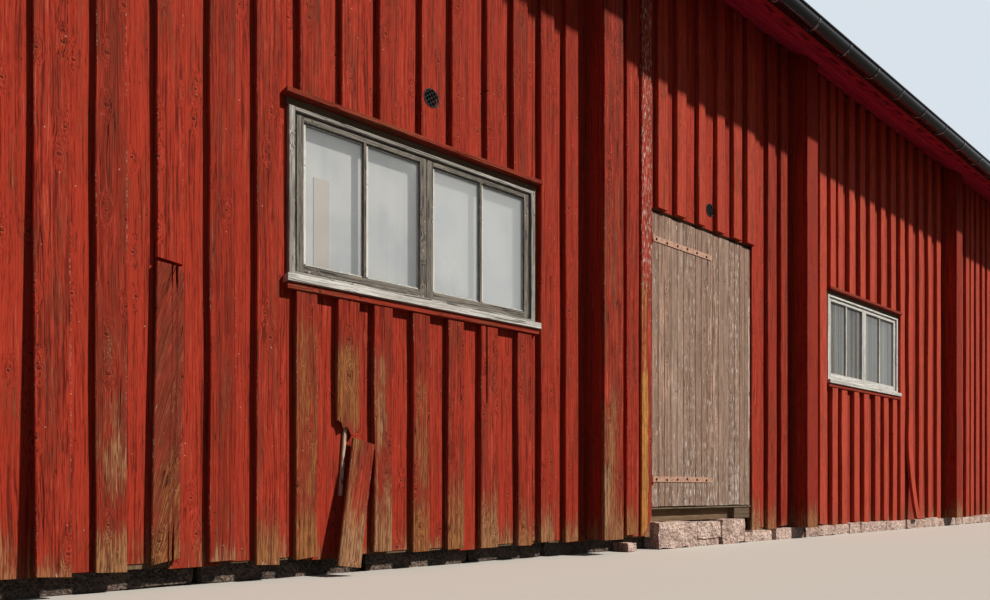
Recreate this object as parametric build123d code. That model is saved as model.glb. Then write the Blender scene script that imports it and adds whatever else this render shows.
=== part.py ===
from build123d import *
import math
import os

# A long red timber barn. X runs along the long walls, -Y is the front, Z is up.
# The origin is the middle of the footprint at ground level. Millimetres.

# Plan: five bays of the long wall, from the left corner to the right one
bay_widths = [2555, 3478, 2555, 3478, 3478]
pilaster_width = 180
pilaster_depth = 170
barn_length = sum(bay_widths) + pilaster_width
barn_depth = 8000
half_length = barn_length / 2
half_depth = barn_depth / 2

# Heights of the walls
ground_to_skirt = 90
plinth_top = 187
sill_top = 287
wall_top = 4050
eave_height = 4165
wall_thickness = 150
skirt_thickness = 40

# Footing and floor
floor_top = 293
floor_thickness = 50
sill_width = 105
ledge_depth = 280
plinth_setback = 5
step_stone_front = 70
step_stone_chamfer = 18
footing_stone_start = 190
footing_stone_length = 470
footing_stone_gap = 12
footing_stone_height = 85
footing_stone_front = 60
footing_stone_chamfer = 12

# Roof, its layers measured square to the slope
roof_pitch = 34
soffit_thickness = 20
soffit_gap = 18
tail_depth = 75
rafter_depth = 150
rafter_width = 75
rafter_spacing = 950
deck_thickness = 22
tile_thickness = 54
verge_overhang = 340
tile_overhang = 40
fascia_thickness = 22
fascia_drop = 14
ridge_board_thickness = 60
ridge_tile_radius = 120
ridge_tile_thickness = 16
ridge_tile_seat = 40
tie_beam_size = 150
tie_beam_bearing = 75
verge_board_thickness = 25
verge_board_rise = 12
verge_joint = 1

# Gutter
gutter_radius = 62.5
gutter_sheet = 2
gutter_bead_radius = 7
gutter_centre_out = 577
gutter_rim_height = 3860
bracket_width = 25
bracket_thickness = 4
bracket_spacing = 500
bracket_leg = 80
bracket_bends = 8
bracket_tip_angle = 0.06  # radians kept clear of the bead

# Windows
window_width = 1545
window_height = 780
window_base = 1395
window_frame_face = 40
window_frame_front = 30
window_frame_depth = 100
casement_face = 42
casement_front = 18
casement_depth = 36
casement_gap = 2
glass_thickness = 4
drip_height = 62
drip_front = 75
drip_side = 25
drip_lip = 22
window_sill_height = 34
window_sill_front = 62
window_sill_side = 20
window_sill_fall = 12
window_cut_clearance = 200
front_window_left = -3830
second_window_left = 1384
second_window_lift = 25

# Vents
vent_radius = 52.5
vent_thickness = 6
vent_hole_radius = 42
vent_mesh_hole = 10.5
vent_mesh_pitch = 14
vent_places = [(-3042, 2467), (-453, 2520)]

# Door
door_left = -1151
door_width = 1256
door_bottom = 293
door_height = 2050
door_board_thickness = 28
door_board_width = 148
door_board_count = 8
door_bead_radius = 4
door_front = 5
doorway_left = -1173
doorway_right = 149
doorway_top = 2365
jamb_face = 60
jamb_setback = 28
ledge_width = 150
ledge_thickness = 28
ledge_heights = [486, 1323, 2160]
ledge_inset_left = 46
ledge_inset_right = 26
threshold_top = 286
threshold_thickness = 30
threshold_front = 30

# Strap hinges
strap_length = 735
strap_width = 38
strap_thickness = 6
strap_tip_radius = 19
strap_heights = [486, 2160]
pin_radius = 8
pin_play = 0.05
pivot_x = -1162
collar_radius = 12
collar_height = 8
pintle_arm_width = 10
pintle_arm_height = 16
pintle_arm_end = 50
pin_over_eye = 6
eye_play = 0.5

slope = math.tan(math.radians(roof_pitch))
upright = 1 / math.cos(math.radians(roof_pitch))
front = -half_depth
parts = {}


def block(x0, x1, y0, y1, z0, z1):
    return Pos((x0 + x1) / 2, (y0 + y1) / 2, (z0 + z1) / 2) * Box(x1 - x0, y1 - y0, z1 - z0)


def along_x(points, x0, x1):
    outline = make_face(Polyline(*points, close=True))
    return extrude(Plane.YZ.offset(x0) * outline, amount=x1 - x0)


def along_y(points, y0, y1):
    outline = make_face(Polyline(*points, close=True))
    return extrude(Plane.XZ.offset(-y0) * outline, amount=y0 - y1)


def to_back(solid):
    return mirror(solid, about=Plane.XZ)


def to_right(solid):
    return mirror(solid, about=Plane.YZ)


def solids_of(shapes):
    return [solid for shape in shapes for solid in shape.solids()]


def keep(name, *shapes):
    parts[name] = solids_of(shapes)


def roof_z(distance_in, layer):
    return eave_height + distance_in * slope + layer * upright


def roof_slab(out, inner, low, high, x0, x1):
    outline = [
        (front - out, roof_z(-out, low)),
        (front - out, roof_z(-out, high)),
        (front + inner, roof_z(inner, high)),
        (front + inner, roof_z(inner, low)),
    ]
    return along_x(outline, x0, x1)


# Layers of the roof, from the soffit's underside up
rafter_low = soffit_thickness
rafter_high = rafter_low + tail_depth
rafter_deep = rafter_high - rafter_depth
deck_high = rafter_high + deck_thickness
tile_high = deck_high + tile_thickness
fascia_out = gutter_centre_out - gutter_radius - bracket_thickness
fascia_in = fascia_out - fascia_thickness
roof_half_length = half_length + verge_overhang

# A pilaster stands at the left of each bay, and one more at the right corner
pilaster_lefts = [-half_length]
for width in bay_widths:
    pilaster_lefts.append(pilaster_lefts[-1] + width)
bay_edges = pilaster_lefts[:-1] + [half_length]
tie_centres = [left + pilaster_width / 2 for left in pilaster_lefts[1:-1]]

# Plinth: a granite strip, its outer shelf carries the sill beam and its inner one the floor
plinth_out = half_depth - skirt_thickness - plinth_setback
plinth_end = half_length - skirt_thickness - plinth_setback
floor_bottom = floor_top - floor_thickness


def plinth_outline(outer):
    return [
        (-outer, 0),
        (-outer, plinth_top),
        (-outer + sill_width, plinth_top),
        (-outer + sill_width, floor_bottom),
        (-outer + sill_width + ledge_depth, floor_bottom),
        (-outer + sill_width + ledge_depth, 0),
    ]


sill_inner = plinth_out - sill_width
long_sill = block(-plinth_end, plinth_end, -plinth_out, -sill_inner, plinth_top, sill_top)
gable_sill = block(-plinth_end, -plinth_end + sill_width, -sill_inner, sill_inner, plinth_top, sill_top)
keep("sill_beams_long", long_sill, to_back(long_sill))
keep("sill_beams_gable", gable_sill, to_right(gable_sill))
plinth = along_x(plinth_outline(plinth_out), -plinth_end, plinth_end) - gable_sill - to_right(gable_sill)
keep("plinth_front", plinth)
keep("plinth_back", to_back(plinth))
plinth_inner = sill_inner - ledge_depth
gable_plinth = along_y(plinth_outline(plinth_end), -plinth_inner, plinth_inner)
keep("plinth_gables", gable_plinth, to_right(gable_plinth))

# Step stones: rough blocks under the doorway
stone_places = [(-1160, 370, 150), (-770, 520, 176), (-230, 365, 160)]
step_stones = []
for left, length, height in stone_places:
    stone = block(left, left + length, front - step_stone_front, -plinth_out, 0, height)
    step_stones.append(chamfer(stone.edges().group_by(Axis.Z)[-1], step_stone_chamfer))
keep("door_step_stones", *step_stones)

# Footing stones: a low row in front of the plinth, right of the doorway
footing_step = footing_stone_length + footing_stone_gap
footing_count = int((half_length - footing_stone_start) // footing_step)
footing_stones = []
for index in range(footing_count):
    left = footing_stone_start + index * footing_step
    stone = block(left, left + footing_stone_length, front - footing_stone_front, -plinth_out, 0, footing_stone_height)
    footing_stones.append(chamfer(stone.edges().group_by(Axis.Z)[-1], footing_stone_chamfer))
keep("footing_stones", *footing_stones)

# Floor of planks, laid on the plinth's ledge
floor_reach = half_depth - wall_thickness
floor_reach_x = half_length - wall_thickness
keep(
    "floor_planks",
    block(-floor_reach_x, floor_reach_x, -floor_reach, floor_reach, floor_bottom, floor_top),
)

# Long walls: frame and boards in one thickness, with a skirt of boards over the sill and plinth
wall_profile = [
    (front, ground_to_skirt),
    (front, wall_top),
    (front + wall_thickness, wall_top),
    (front + wall_thickness, sill_top),
    (front + skirt_thickness, sill_top),
    (front + skirt_thickness, ground_to_skirt),
]
tie_bottom = wall_top - tie_beam_size
tie_beams = [
    block(
        centre - tie_beam_size / 2,
        centre + tie_beam_size / 2,
        front + wall_thickness - tie_beam_bearing,
        -front - wall_thickness + tie_beam_bearing,
        tie_bottom,
        wall_top,
    )
    for centre in tie_centres
]

# Windows: (left edge, base height) in the long walls, the back repeats the front
window_places = [(front_window_left, window_base), (second_window_left, window_base + second_window_lift)]


def window_hole(left, base):
    y0 = front - window_cut_clearance
    y1 = front + wall_thickness + window_cut_clearance
    return block(left, left + window_width, y0, y1, base, base + window_height)


def vent_hole(x, z):
    return Pos(x, front, z) * Rot(90, 0, 0) * Cylinder(vent_hole_radius, wall_thickness * 3)


def wall_piece(x0, x1, z0=None):
    piece = along_x(wall_profile, x0, x1)
    if z0 is not None:
        piece = piece & block(x0, x1, front, front + wall_thickness, z0, wall_top)
    for left, base in window_places:
        if x0 < left < x1:
            piece = piece - window_hole(left, base)
    for x, z in vent_places:
        if x0 < x < x1 and (z0 is None or z > z0):
            piece = piece - vent_hole(x, z)
    for beam in tie_beams:
        piece = piece - beam
    return piece


keep("front_wall_left_bay", wall_piece(bay_edges[0], bay_edges[1]))
keep("front_wall_window_bay_1", wall_piece(bay_edges[1], bay_edges[2]))
keep("front_wall_left_of_door", wall_piece(bay_edges[2], doorway_left))
keep("front_wall_right_of_door", wall_piece(doorway_right, bay_edges[3]))
keep("front_wall_over_door", wall_piece(doorway_left, doorway_right, doorway_top))
keep("front_wall_window_bay_2", wall_piece(bay_edges[3], bay_edges[4]))
keep("front_wall_right_bay", wall_piece(bay_edges[4], bay_edges[5]))
back_wall = to_back(wall_piece(bay_edges[0], bay_edges[5]))
keep("back_wall", back_wall)

# Gables: pentagons between the long walls, up to the deck and notched for the ridge board
inner = half_depth - wall_thickness
half_gable = [
    (-inner, ground_to_skirt),
    (-inner, roof_z(wall_thickness, rafter_low)),
    (-half_depth, roof_z(0, rafter_low)),
    (-half_depth, roof_z(0, rafter_high)),
]
gable_outline = half_gable + [(0, roof_z(half_depth, rafter_high))] + [(-y, z) for y, z in reversed(half_gable)]
gable = along_x(gable_outline, -half_length, -half_length + wall_thickness)
gable = gable - block(
    -half_length + skirt_thickness, -half_length + wall_thickness, -inner, inner, ground_to_skirt, sill_top
)
gable_window_hole = block(
    -half_length,
    -half_length + wall_thickness,
    -window_width / 2,
    window_width / 2,
    window_base,
    window_base + window_height,
)
gable = gable - gable_window_hole
deck_end = roof_half_length - verge_board_thickness
rafter_end = half_depth - ridge_board_thickness / 2
ridge_board = block(
    -deck_end,
    deck_end,
    -ridge_board_thickness / 2,
    ridge_board_thickness / 2,
    roof_z(rafter_end, rafter_deep),
    roof_z(rafter_end, rafter_high),
)
gable = gable - ridge_board
keep("ridge_board", ridge_board)
keep("gable_left", gable)
keep("gable_right", to_right(gable))

# Boxed pilasters, cut to the soffit at the top
pilaster_outline = [
    (front - pilaster_depth, ground_to_skirt),
    (front - pilaster_depth, roof_z(-pilaster_depth, 0)),
    (front, roof_z(0, 0)),
    (front, ground_to_skirt),
]
front_pilasters = [along_x(pilaster_outline, left, left + pilaster_width) for left in pilaster_lefts]
keep("front_pilasters", *front_pilasters)
keep("back_pilasters", *[to_back(pilaster) for pilaster in front_pilasters])
gable_pilaster_places = [-half_depth / 3 - pilaster_width / 2, half_depth / 3 - pilaster_width / 2]
gable_pilasters = []
for y in gable_pilaster_places:
    reach = half_depth - max(abs(y), abs(y + pilaster_width))
    top_low = roof_z(reach, rafter_high)
    top_high = roof_z(reach + pilaster_width, rafter_high)
    tops = [top_low, top_high] if y < 0 else [top_high, top_low]
    outline = [
        (y, ground_to_skirt),
        (y, tops[0]),
        (y + pilaster_width, tops[1]),
        (y + pilaster_width, ground_to_skirt),
    ]
    gable_pilasters.append(along_x(outline, -half_length - pilaster_depth, -half_length))
keep("gable_pilasters", *gable_pilasters, *[to_right(pilaster) for pilaster in gable_pilasters])

# Wall plates under the rafters
plate_outline = [
    (front, wall_top),
    (front, roof_z(0, rafter_low)),
    (front + wall_thickness, roof_z(wall_thickness, rafter_low)),
    (front + wall_thickness, wall_top),
]
plate = along_x(plate_outline, -half_length, half_length)
keep("wall_plates", plate, to_back(plate))
keep("tie_beams", *tie_beams)

# Rafters: notched over the wall plate, with thinner tails out to the fascia
rafter_outline = [
    (front - fascia_in, roof_z(-fascia_in, rafter_low)),
    (front - fascia_in, roof_z(-fascia_in, rafter_high)),
    (front + rafter_end, roof_z(rafter_end, rafter_high)),
    (front + rafter_end, roof_z(rafter_end, rafter_deep)),
    (front + wall_thickness, roof_z(wall_thickness, rafter_deep)),
    (front + wall_thickness, roof_z(wall_thickness, rafter_low)),
]
rafter_reach = deck_end - rafter_width
rafter_count = round(2 * rafter_reach / rafter_spacing) + 1
rafter_step = 2 * rafter_reach / (rafter_count - 1)
rafters = []
for index in range(rafter_count):
    x = -rafter_reach + index * rafter_step
    rafters.append(along_x(rafter_outline, x - rafter_width / 2, x + rafter_width / 2))
keep("rafters", *rafters, *[to_back(rafter) for rafter in rafters])

# Eave soffit of boards, an air gap, then the fascia over the rafter tails, and the deck
soffit_out = fascia_in - soffit_gap
soffit = roof_slab(soffit_out, 0, 0, soffit_thickness, -deck_end, deck_end)
keep("eave_soffits", soffit, to_back(soffit))
fascia_bottom = roof_z(-fascia_in, 0) - fascia_drop
fascia = along_x(
    [
        (front - fascia_out, fascia_bottom),
        (front - fascia_out, roof_z(-fascia_out, rafter_high)),
        (front - fascia_in, roof_z(-fascia_in, rafter_high)),
        (front - fascia_in, fascia_bottom),
    ],
    -deck_end,
    deck_end,
)
keep("fascia_boards", fascia, to_back(fascia))
deck = roof_slab(fascia_out, half_depth, rafter_high, deck_high, -deck_end, deck_end)
keep("roof_deck_front", deck)
keep("roof_deck_back", to_back(deck))

# Tiles lie on the deck between the verge boards
tiles = roof_slab(fascia_out + tile_overhang, half_depth, deck_high, tile_high, -deck_end, deck_end)
keep("roof_tiles_front", tiles)
keep("roof_tiles_back", to_back(tiles))
verge_end = half_depth - verge_joint / 2
verge = roof_slab(fascia_out, verge_end, 0, tile_high + verge_board_rise, -roof_half_length, -deck_end)
keep("verge_boards_front", verge, to_right(verge))
keep("verge_boards_back", to_back(verge), to_back(to_right(verge)))

# Ridge tiles: a half round that sits on both slopes
ridge_centre = roof_z(half_depth, tile_high) - ridge_tile_seat
ridge_ring = Circle(ridge_tile_radius) - Circle(ridge_tile_radius - ridge_tile_thickness)
ridge = extrude(
    Plane.YZ.offset(-deck_end) * Pos(0, ridge_centre) * ridge_ring, amount=2 * deck_end
)
under_ridge = along_x(
    [
        (-half_depth, roof_z(0, tile_high)),
        (0, roof_z(half_depth, tile_high)),
        (half_depth, roof_z(0, tile_high)),
        (half_depth, 0),
        (-half_depth, 0),
    ],
    -deck_end,
    deck_end,
)
keep("ridge_tiles", ridge - under_ridge)

# Half-round gutters with a beaded outer rim and stop ends
gutter_y = front - gutter_centre_out
lower_half = Pos(0, -gutter_radius) * Rectangle(4 * gutter_radius, 2 * gutter_radius)
gutter_shell = (Circle(gutter_radius) - Circle(gutter_radius - gutter_sheet)) & lower_half
gutter_bead = Pos(-gutter_radius - gutter_bead_radius + gutter_sheet, -gutter_bead_radius) * Circle(gutter_bead_radius)
gutter_section = gutter_shell + gutter_bead
gutter_plane = Plane.YZ.offset(-roof_half_length)
gutter = extrude(gutter_plane * Pos(gutter_y, gutter_rim_height) * gutter_section, amount=2 * roof_half_length)
end_disc = Circle(gutter_radius) & lower_half
gutter_end = extrude(gutter_plane * Pos(gutter_y, gutter_rim_height) * end_disc, amount=gutter_sheet)
gutter = gutter + gutter_end + to_right(gutter_end)
keep("gutter_front", gutter)
keep("gutter_back", to_back(gutter))

# Gutter brackets: a strap bent round under the gutter in short steps, nailed to the fascia
bracket_start = -math.pi + 2 * math.asin(gutter_bead_radius / gutter_radius) + bracket_tip_angle
bend_angle = -bracket_start / bracket_bends
bracket_inner = gutter_radius / math.cos(bend_angle / 2)
bracket_outer = (gutter_radius + bracket_thickness) / math.cos(bend_angle / 2)
bend_angles = [bracket_start + index * bend_angle for index in range(bracket_bends)]
bracket_outline = [(bracket_outer * math.cos(a), bracket_outer * math.sin(a)) for a in bend_angles]
bracket_outline += [
    (gutter_radius + bracket_thickness, -gutter_radius * math.tan(bend_angle / 2)),
    (gutter_radius + bracket_thickness, bracket_leg),
    (gutter_radius, bracket_leg),
    (gutter_radius, -gutter_radius * math.tan(bend_angle / 2)),
]
bracket_outline += [(bracket_inner * math.cos(a), bracket_inner * math.sin(a)) for a in reversed(bend_angles)]
bracket_count = round((2 * roof_half_length - bracket_spacing) / bracket_spacing) + 1
bracket_step = (2 * roof_half_length - bracket_spacing) / (bracket_count - 1)
brackets = []
for index in range(bracket_count):
    x = -roof_half_length + bracket_spacing / 2 + index * bracket_step
    placed = [(gutter_y + y, gutter_rim_height + z) for y, z in bracket_outline]
    brackets.append(along_x(placed, x - bracket_width / 2, x + bracket_width / 2))
keep("gutter_brackets", *brackets, *[to_back(bracket) for bracket in brackets])


def ring(x0, x1, z0, z1, face, y_front, depth):
    outer = block(x0, x1, y_front, y_front + depth, z0, z1)
    return outer - block(x0 + face, x1 - face, y_front, y_front + depth, z0 + face, z1 - face)


def window_at(left, base):
    right = left + window_width
    top = base + window_height
    frame = ring(left, right, base, top, window_frame_face, front - window_frame_front, window_frame_depth)
    inner_left = left + window_frame_face
    inner_right = right - window_frame_face
    inner_base = base + window_frame_face
    inner_top = top - window_frame_face
    middle = (inner_left + inner_right) / 2
    casements = []
    panes = []
    for x0, x1 in [(inner_left, middle - casement_gap / 2), (middle + casement_gap / 2, inner_right)]:
        y_front = front - casement_front
        casements.append(ring(x0, x1, inner_base, inner_top, casement_face, y_front, casement_depth))
        panes.append(
            block(
                x0 + casement_face,
                x1 - casement_face,
                front - glass_thickness / 2,
                front + glass_thickness / 2,
                inner_base + casement_face,
                inner_top - casement_face,
            )
        )
    drip = along_x(
        [
            (front, top),
            (front - drip_front, top),
            (front - drip_front, top + drip_lip),
            (front, top + drip_height),
        ],
        left - drip_side,
        right + drip_side,
    )
    sill = along_x(
        [
            (front, base - window_sill_height),
            (front - window_sill_front, base - window_sill_height),
            (front - window_sill_front, base - window_sill_fall),
            (front - window_frame_front, base),
            (front, base),
        ],
        left - window_sill_side,
        right + window_sill_side,
    )
    return {
        "window_frames": [frame],
        "window_casements": casements,
        "window_glass": panes,
        "window_drip_boards": [drip],
        "window_sills": [sill],
    }


def turned_to_gable(solid):
    return Pos(-half_length, 0, 0) * Rot(0, 0, -90) * Pos(0, half_depth, 0) * solid


window_nodes = {name: [] for name in window_at(0, 0)}
for left, base in window_places:
    for name, shapes in window_at(left, base).items():
        window_nodes[name] += shapes + [to_back(shape) for shape in shapes]
for name, shapes in window_at(-window_width / 2, window_base).items():
    turned = [turned_to_gable(shape) for shape in shapes]
    window_nodes[name] += turned + [to_right(shape) for shape in turned]
for name, shapes in window_nodes.items():
    keep(name, *shapes)

# Vent grilles: round plates with a square mesh over the holes
mesh_reach = vent_hole_radius - vent_mesh_pitch / 2
mesh_half = int(mesh_reach // vent_mesh_pitch)
mesh_cells = [
    (i * vent_mesh_pitch, j * vent_mesh_pitch)
    for i in range(-mesh_half, mesh_half + 1)
    for j in range(-mesh_half, mesh_half + 1)
    if math.hypot(i, j) * vent_mesh_pitch <= mesh_reach
]
vent_section = Circle(vent_radius)
for x, y in mesh_cells:
    vent_section = vent_section - Pos(x, y) * Rectangle(vent_mesh_hole, vent_mesh_hole)
vents = [
    extrude(Plane.XZ.offset(half_depth) * Pos(x, z) * vent_section, amount=vent_thickness) for x, z in vent_places
]
keep("vent_grilles", *vents, *[to_back(vent) for vent in vents])

# Door frame behind the leaf: jambs, head and threshold
jamb_front = front + jamb_setback
jamb_back = front + wall_thickness
left_jamb = block(doorway_left, doorway_left + jamb_face, jamb_front, jamb_back, floor_top, doorway_top)
right_jamb = block(doorway_right - jamb_face, doorway_right, jamb_front, jamb_back, floor_top, doorway_top)
arm_end = jamb_front + pintle_arm_end
door_face = front - door_front
pivot_y = door_face - strap_thickness - pin_radius - pin_play
eye_radius = pin_radius + pin_play + strap_thickness
pintles = []
for height in strap_heights:
    eye_low = height - strap_width / 2
    collar_top = eye_low - eye_play
    collar_low = collar_top - collar_height
    pin_top = height + strap_width / 2 + pin_over_eye
    arm = block(
        pivot_x - pintle_arm_width / 2,
        pivot_x + pintle_arm_width / 2,
        pivot_y,
        arm_end,
        collar_low - pintle_arm_height,
        collar_low,
    )
    base = Pos(pivot_x, pivot_y, collar_low - pintle_arm_height) * Cylinder(
        pin_radius, pintle_arm_height, align=(Align.CENTER, Align.CENTER, Align.MIN)
    )
    collar = Pos(pivot_x, pivot_y, collar_low) * Cylinder(
        collar_radius, collar_height, align=(Align.CENTER, Align.CENTER, Align.MIN)
    )
    pin = Pos(pivot_x, pivot_y, collar_low) * Cylinder(
        pin_radius, pin_top - collar_low, align=(Align.CENTER, Align.CENTER, Align.MIN)
    )
    pintles.append(arm + base + collar + pin)
    left_jamb = left_jamb - arm
keep("hinge_pintles", *pintles)
keep("door_jambs", left_jamb, right_jamb)
keep(
    "door_head",
    block(
        doorway_left + jamb_face,
        doorway_right - jamb_face,
        jamb_front,
        jamb_back,
        doorway_top - jamb_face,
        doorway_top,
    ),
)
keep(
    "door_threshold",
    block(
        doorway_left,
        doorway_right,
        front - threshold_front,
        front + skirt_thickness,
        threshold_top - threshold_thickness,
        threshold_top,
    ),
)

# Door leaf: tongued boards with a bead cut along each, shown as grooves in one leaf
door_right = door_left + door_width
door_top = door_bottom + door_height
leaf = block(door_left, door_right, door_face, door_face + door_board_thickness, door_bottom, door_top)
first_board = door_width - door_board_count * door_board_width
for index in range(door_board_count):
    x = door_left + first_board + index * door_board_width
    groove = Pos(x, door_face, door_bottom) * Cylinder(
        door_bead_radius, door_height, align=(Align.CENTER, Align.CENTER, Align.MIN)
    )
    leaf = leaf - groove
keep("door_boards", leaf)
ledges = []
for height in ledge_heights:
    ledge = block(
        door_left + ledge_inset_left,
        door_right - ledge_inset_right,
        door_face + door_board_thickness,
        door_face + door_board_thickness + ledge_thickness,
        height - ledge_width / 2,
        height + ledge_width / 2,
    )
    ledges.append(ledge)
keep("door_ledges", *ledges)

# Strap hinges: flat straps with a rolled eye over each pintle and a round tip
straps = []
for height in strap_heights:
    flat = block(
        pivot_x,
        pivot_x + strap_length - strap_tip_radius,
        door_face - strap_thickness,
        door_face,
        height - strap_width / 2,
        height + strap_width / 2,
    )
    tip = Pos(pivot_x + strap_length - strap_tip_radius, door_face - strap_thickness / 2, height) * Rot(
        90, 0, 0
    ) * Cylinder(strap_tip_radius, strap_thickness)
    eye = Pos(pivot_x, pivot_y, height) * Cylinder(eye_radius, strap_width)
    eye_hole = Pos(pivot_x, pivot_y, height) * Cylinder(pin_radius + pin_play, strap_width)
    straps.append(flat + tip + eye - eye_hole)
keep("strap_hinges", *straps)

os.makedirs("parts", exist_ok=True)
for name, solids in parts.items():
    shape = solids[0] if len(solids) == 1 else Compound(children=solids)
    export_step(shape, f"parts/{name}.step")
print(len(parts), "nodes")
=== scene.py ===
import math
import random

import bpy
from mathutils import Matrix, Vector, noise


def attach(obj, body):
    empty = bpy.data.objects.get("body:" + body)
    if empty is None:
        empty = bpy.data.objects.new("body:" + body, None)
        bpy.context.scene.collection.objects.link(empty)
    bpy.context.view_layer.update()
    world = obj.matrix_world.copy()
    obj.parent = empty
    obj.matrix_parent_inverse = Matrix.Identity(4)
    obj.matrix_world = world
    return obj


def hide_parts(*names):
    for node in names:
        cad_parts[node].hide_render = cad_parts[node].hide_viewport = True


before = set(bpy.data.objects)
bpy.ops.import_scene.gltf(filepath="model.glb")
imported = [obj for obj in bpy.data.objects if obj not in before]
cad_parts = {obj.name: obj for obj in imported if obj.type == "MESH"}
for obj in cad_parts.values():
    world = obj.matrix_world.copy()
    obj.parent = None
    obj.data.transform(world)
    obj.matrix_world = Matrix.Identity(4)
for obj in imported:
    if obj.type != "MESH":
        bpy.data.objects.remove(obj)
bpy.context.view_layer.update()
noise.seed_set(17)  # otherwise noise vectors differ from run to run
print("frame loaded")

right = Vector((1, 0, 0))
back = Vector((0, 1, 0))
up = Vector((0, 0, 1))


# camera and light

cameraPlan = {
    "place": (-5.306, -7.225, 0.41),  # crouching close to the wall, looking along it
    "ahead": (0.6467, 0.7627),
    "lens": 26.98,
    "shiftUp": 0.192,
}

camera = bpy.data.objects.new("camera", bpy.data.cameras.new("camera"))
bpy.context.scene.collection.objects.link(camera)
camera.location = cameraPlan["place"]
camera.rotation_euler = (math.radians(90), 0, -math.atan2(*cameraPlan["ahead"]))
camera.data.lens = cameraPlan["lens"]
camera.data.shift_y = cameraPlan["shiftUp"]
camera.data.clip_end = 200
bpy.context.scene.camera = camera
bpy.context.scene.view_settings.view_transform = "Standard"


def linear(code):  # sRGB hex to linear colour
    shares = [int(code[i:i + 2], 16) / 255 for i in (1, 3, 5)]
    return tuple(s / 12.92 if s <= 0.04045 else ((s + 0.055) / 1.055) ** 2.4 for s in shares) + (1.0,)


def addNode(tree, kind, inputs=None, **settings):
    node = tree.nodes.new(kind)
    for name, value in settings.items():
        setattr(node, name, value)
    for name, value in (inputs or {}).items():
        if isinstance(value, Field):
            tree.links.new(value.socket, node.inputs[name])
        else:
            node.inputs[name].default_value = value
    return node


def made(tree, kind, inputs=None, output=0, **settings):  # what a new node gives
    return Field(addNode(tree, kind, inputs, **settings).outputs[output])


class Field:  # a value in a node tree; fields add up and multiply as numbers do
    def __init__(self, socket):
        self.socket = socket
        self.tree = socket.id_data

    def joined(self, operation, other=0.0):
        return made(self.tree, "ShaderNodeMath", {0: self, 1: other}, operation=operation)

    def __add__(self, other):
        return self.joined("ADD", other)

    def __sub__(self, other):
        return self.joined("SUBTRACT", other)

    def __mul__(self, other):
        return self.joined("MULTIPLY", other)

    def __abs__(self):
        return self.joined("ABSOLUTE")

    def most(self, other):
        return self.joined("MAXIMUM", other)

    def parts(self):
        return [Field(part) for part in addNode(self.tree, "ShaderNodeSeparateXYZ", {0: self}).outputs]

    def eased(self, low, high, toLow=0.0, toHigh=1.0):  # from low to high, eased to a share
        limits = {"From Min": low, "From Max": high, "To Min": toLow, "To Max": toHigh}
        return made(self.tree, "ShaderNodeMapRange", {"Value": self, **limits},
                    interpolation_type="SMOOTHSTEP")


lightPlan = {
    "toSun": (0.65, -1.0, 0.98),  # high on the right, so boards shade their left sides
    "sunStrength": 4.1,
    "sunSpread": 2.5,  # degrees; a small soft box far away
    "sunColour": "#FFF6EA",
    "toRear": (-0.7, 1.0, 0.9),
    "rearStrength": 2.4,  # a second lamp for the far sides, which the barn keeps off its front
    "skyStrength": 0.13,
    "skyColour": "#DCE6F2",
    "backdrop": "#D9E2EA",
}

for lampName, aim, strength in (
    ("keyLight", "toSun", "sunStrength"),
    ("rearLight", "toRear", "rearStrength"),
):
    lamp = bpy.data.objects.new(lampName, bpy.data.lights.new(lampName, "SUN"))
    bpy.context.scene.collection.objects.link(lamp)
    lamp.rotation_euler = Vector(lightPlan[aim]).to_track_quat("Z", "Y").to_euler()
    lamp.data.energy = lightPlan[strength]
    lamp.data.angle = math.radians(lightPlan["sunSpread"])
    lamp.data.color = linear(lightPlan["sunColour"])[:3]

world = bpy.data.worlds.new("studio")
bpy.context.scene.world = world
world.use_nodes = True
sky = world.node_tree
sky.nodes.clear()
rays = addNode(sky, "ShaderNodeLightPath").outputs
seen = Field(rays["Is Camera Ray"])
for kind in ("Is Glossy Ray", "Is Transmission Ray"):
    seen = seen.most(Field(rays[kind]))
glow, plain = (made(sky, "ShaderNodeBackground", {"Color": linear(lightPlan[colour]), "Strength": strength})
               for colour, strength in (("skyColour", lightPlan["skyStrength"]), ("backdrop", 1.0)))
either = made(sky, "ShaderNodeMixShader", {0: seen, 1: glow, 2: plain})
addNode(sky, "ShaderNodeOutputWorld", {"Surface": either})


# materials

def newMaterial(name, roughness, gloss):
    material = bpy.data.materials.new(name)
    material.use_nodes = True
    shader = material.node_tree.nodes["Principled BSDF"]
    shader.inputs["Roughness"].default_value = roughness
    shader.inputs["Specular IOR Level"].default_value = gloss
    return material, material.node_tree, shader


# gives a material its colour, and bumps that are so many metres deep
def surface(material, shader, colour, height=None, depth=0.001, strength=1.0):
    tree = material.node_tree
    tree.links.new(colour.socket, shader.inputs["Base Color"])
    if height:
        bump = addNode(tree, "ShaderNodeBump", {"Height": height, "Strength": strength, "Distance": depth})
        tree.links.new(bump.outputs[0], shader.inputs["Normal"])
    return material


def attribute(tree, name):
    return made(tree, "ShaderNodeAttribute", output="Vector", attribute_name=name)


def patternSpace(tree, direction=None):  # metres; with a direction: across the grain, along it, into it
    if direction == "board":
        return attribute(tree, "grain")
    spot = made(tree, "ShaderNodeTexCoord", output="Object")
    if direction is None:
        return spot
    axes = dict(zip("XYZ", spot.parts()))
    order = {"alongX": "YXZ", "alongY": "XYZ", "alongZ": "XZY"}[direction]
    return made(tree, "ShaderNodeCombineXYZ", {i: axes[a] for i, a in enumerate(order)})


def vectors(operation, first, second, output=0):
    return made(first.tree, "ShaderNodeVectorMath", {0: first, 1: second}, output, operation=operation)


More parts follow.
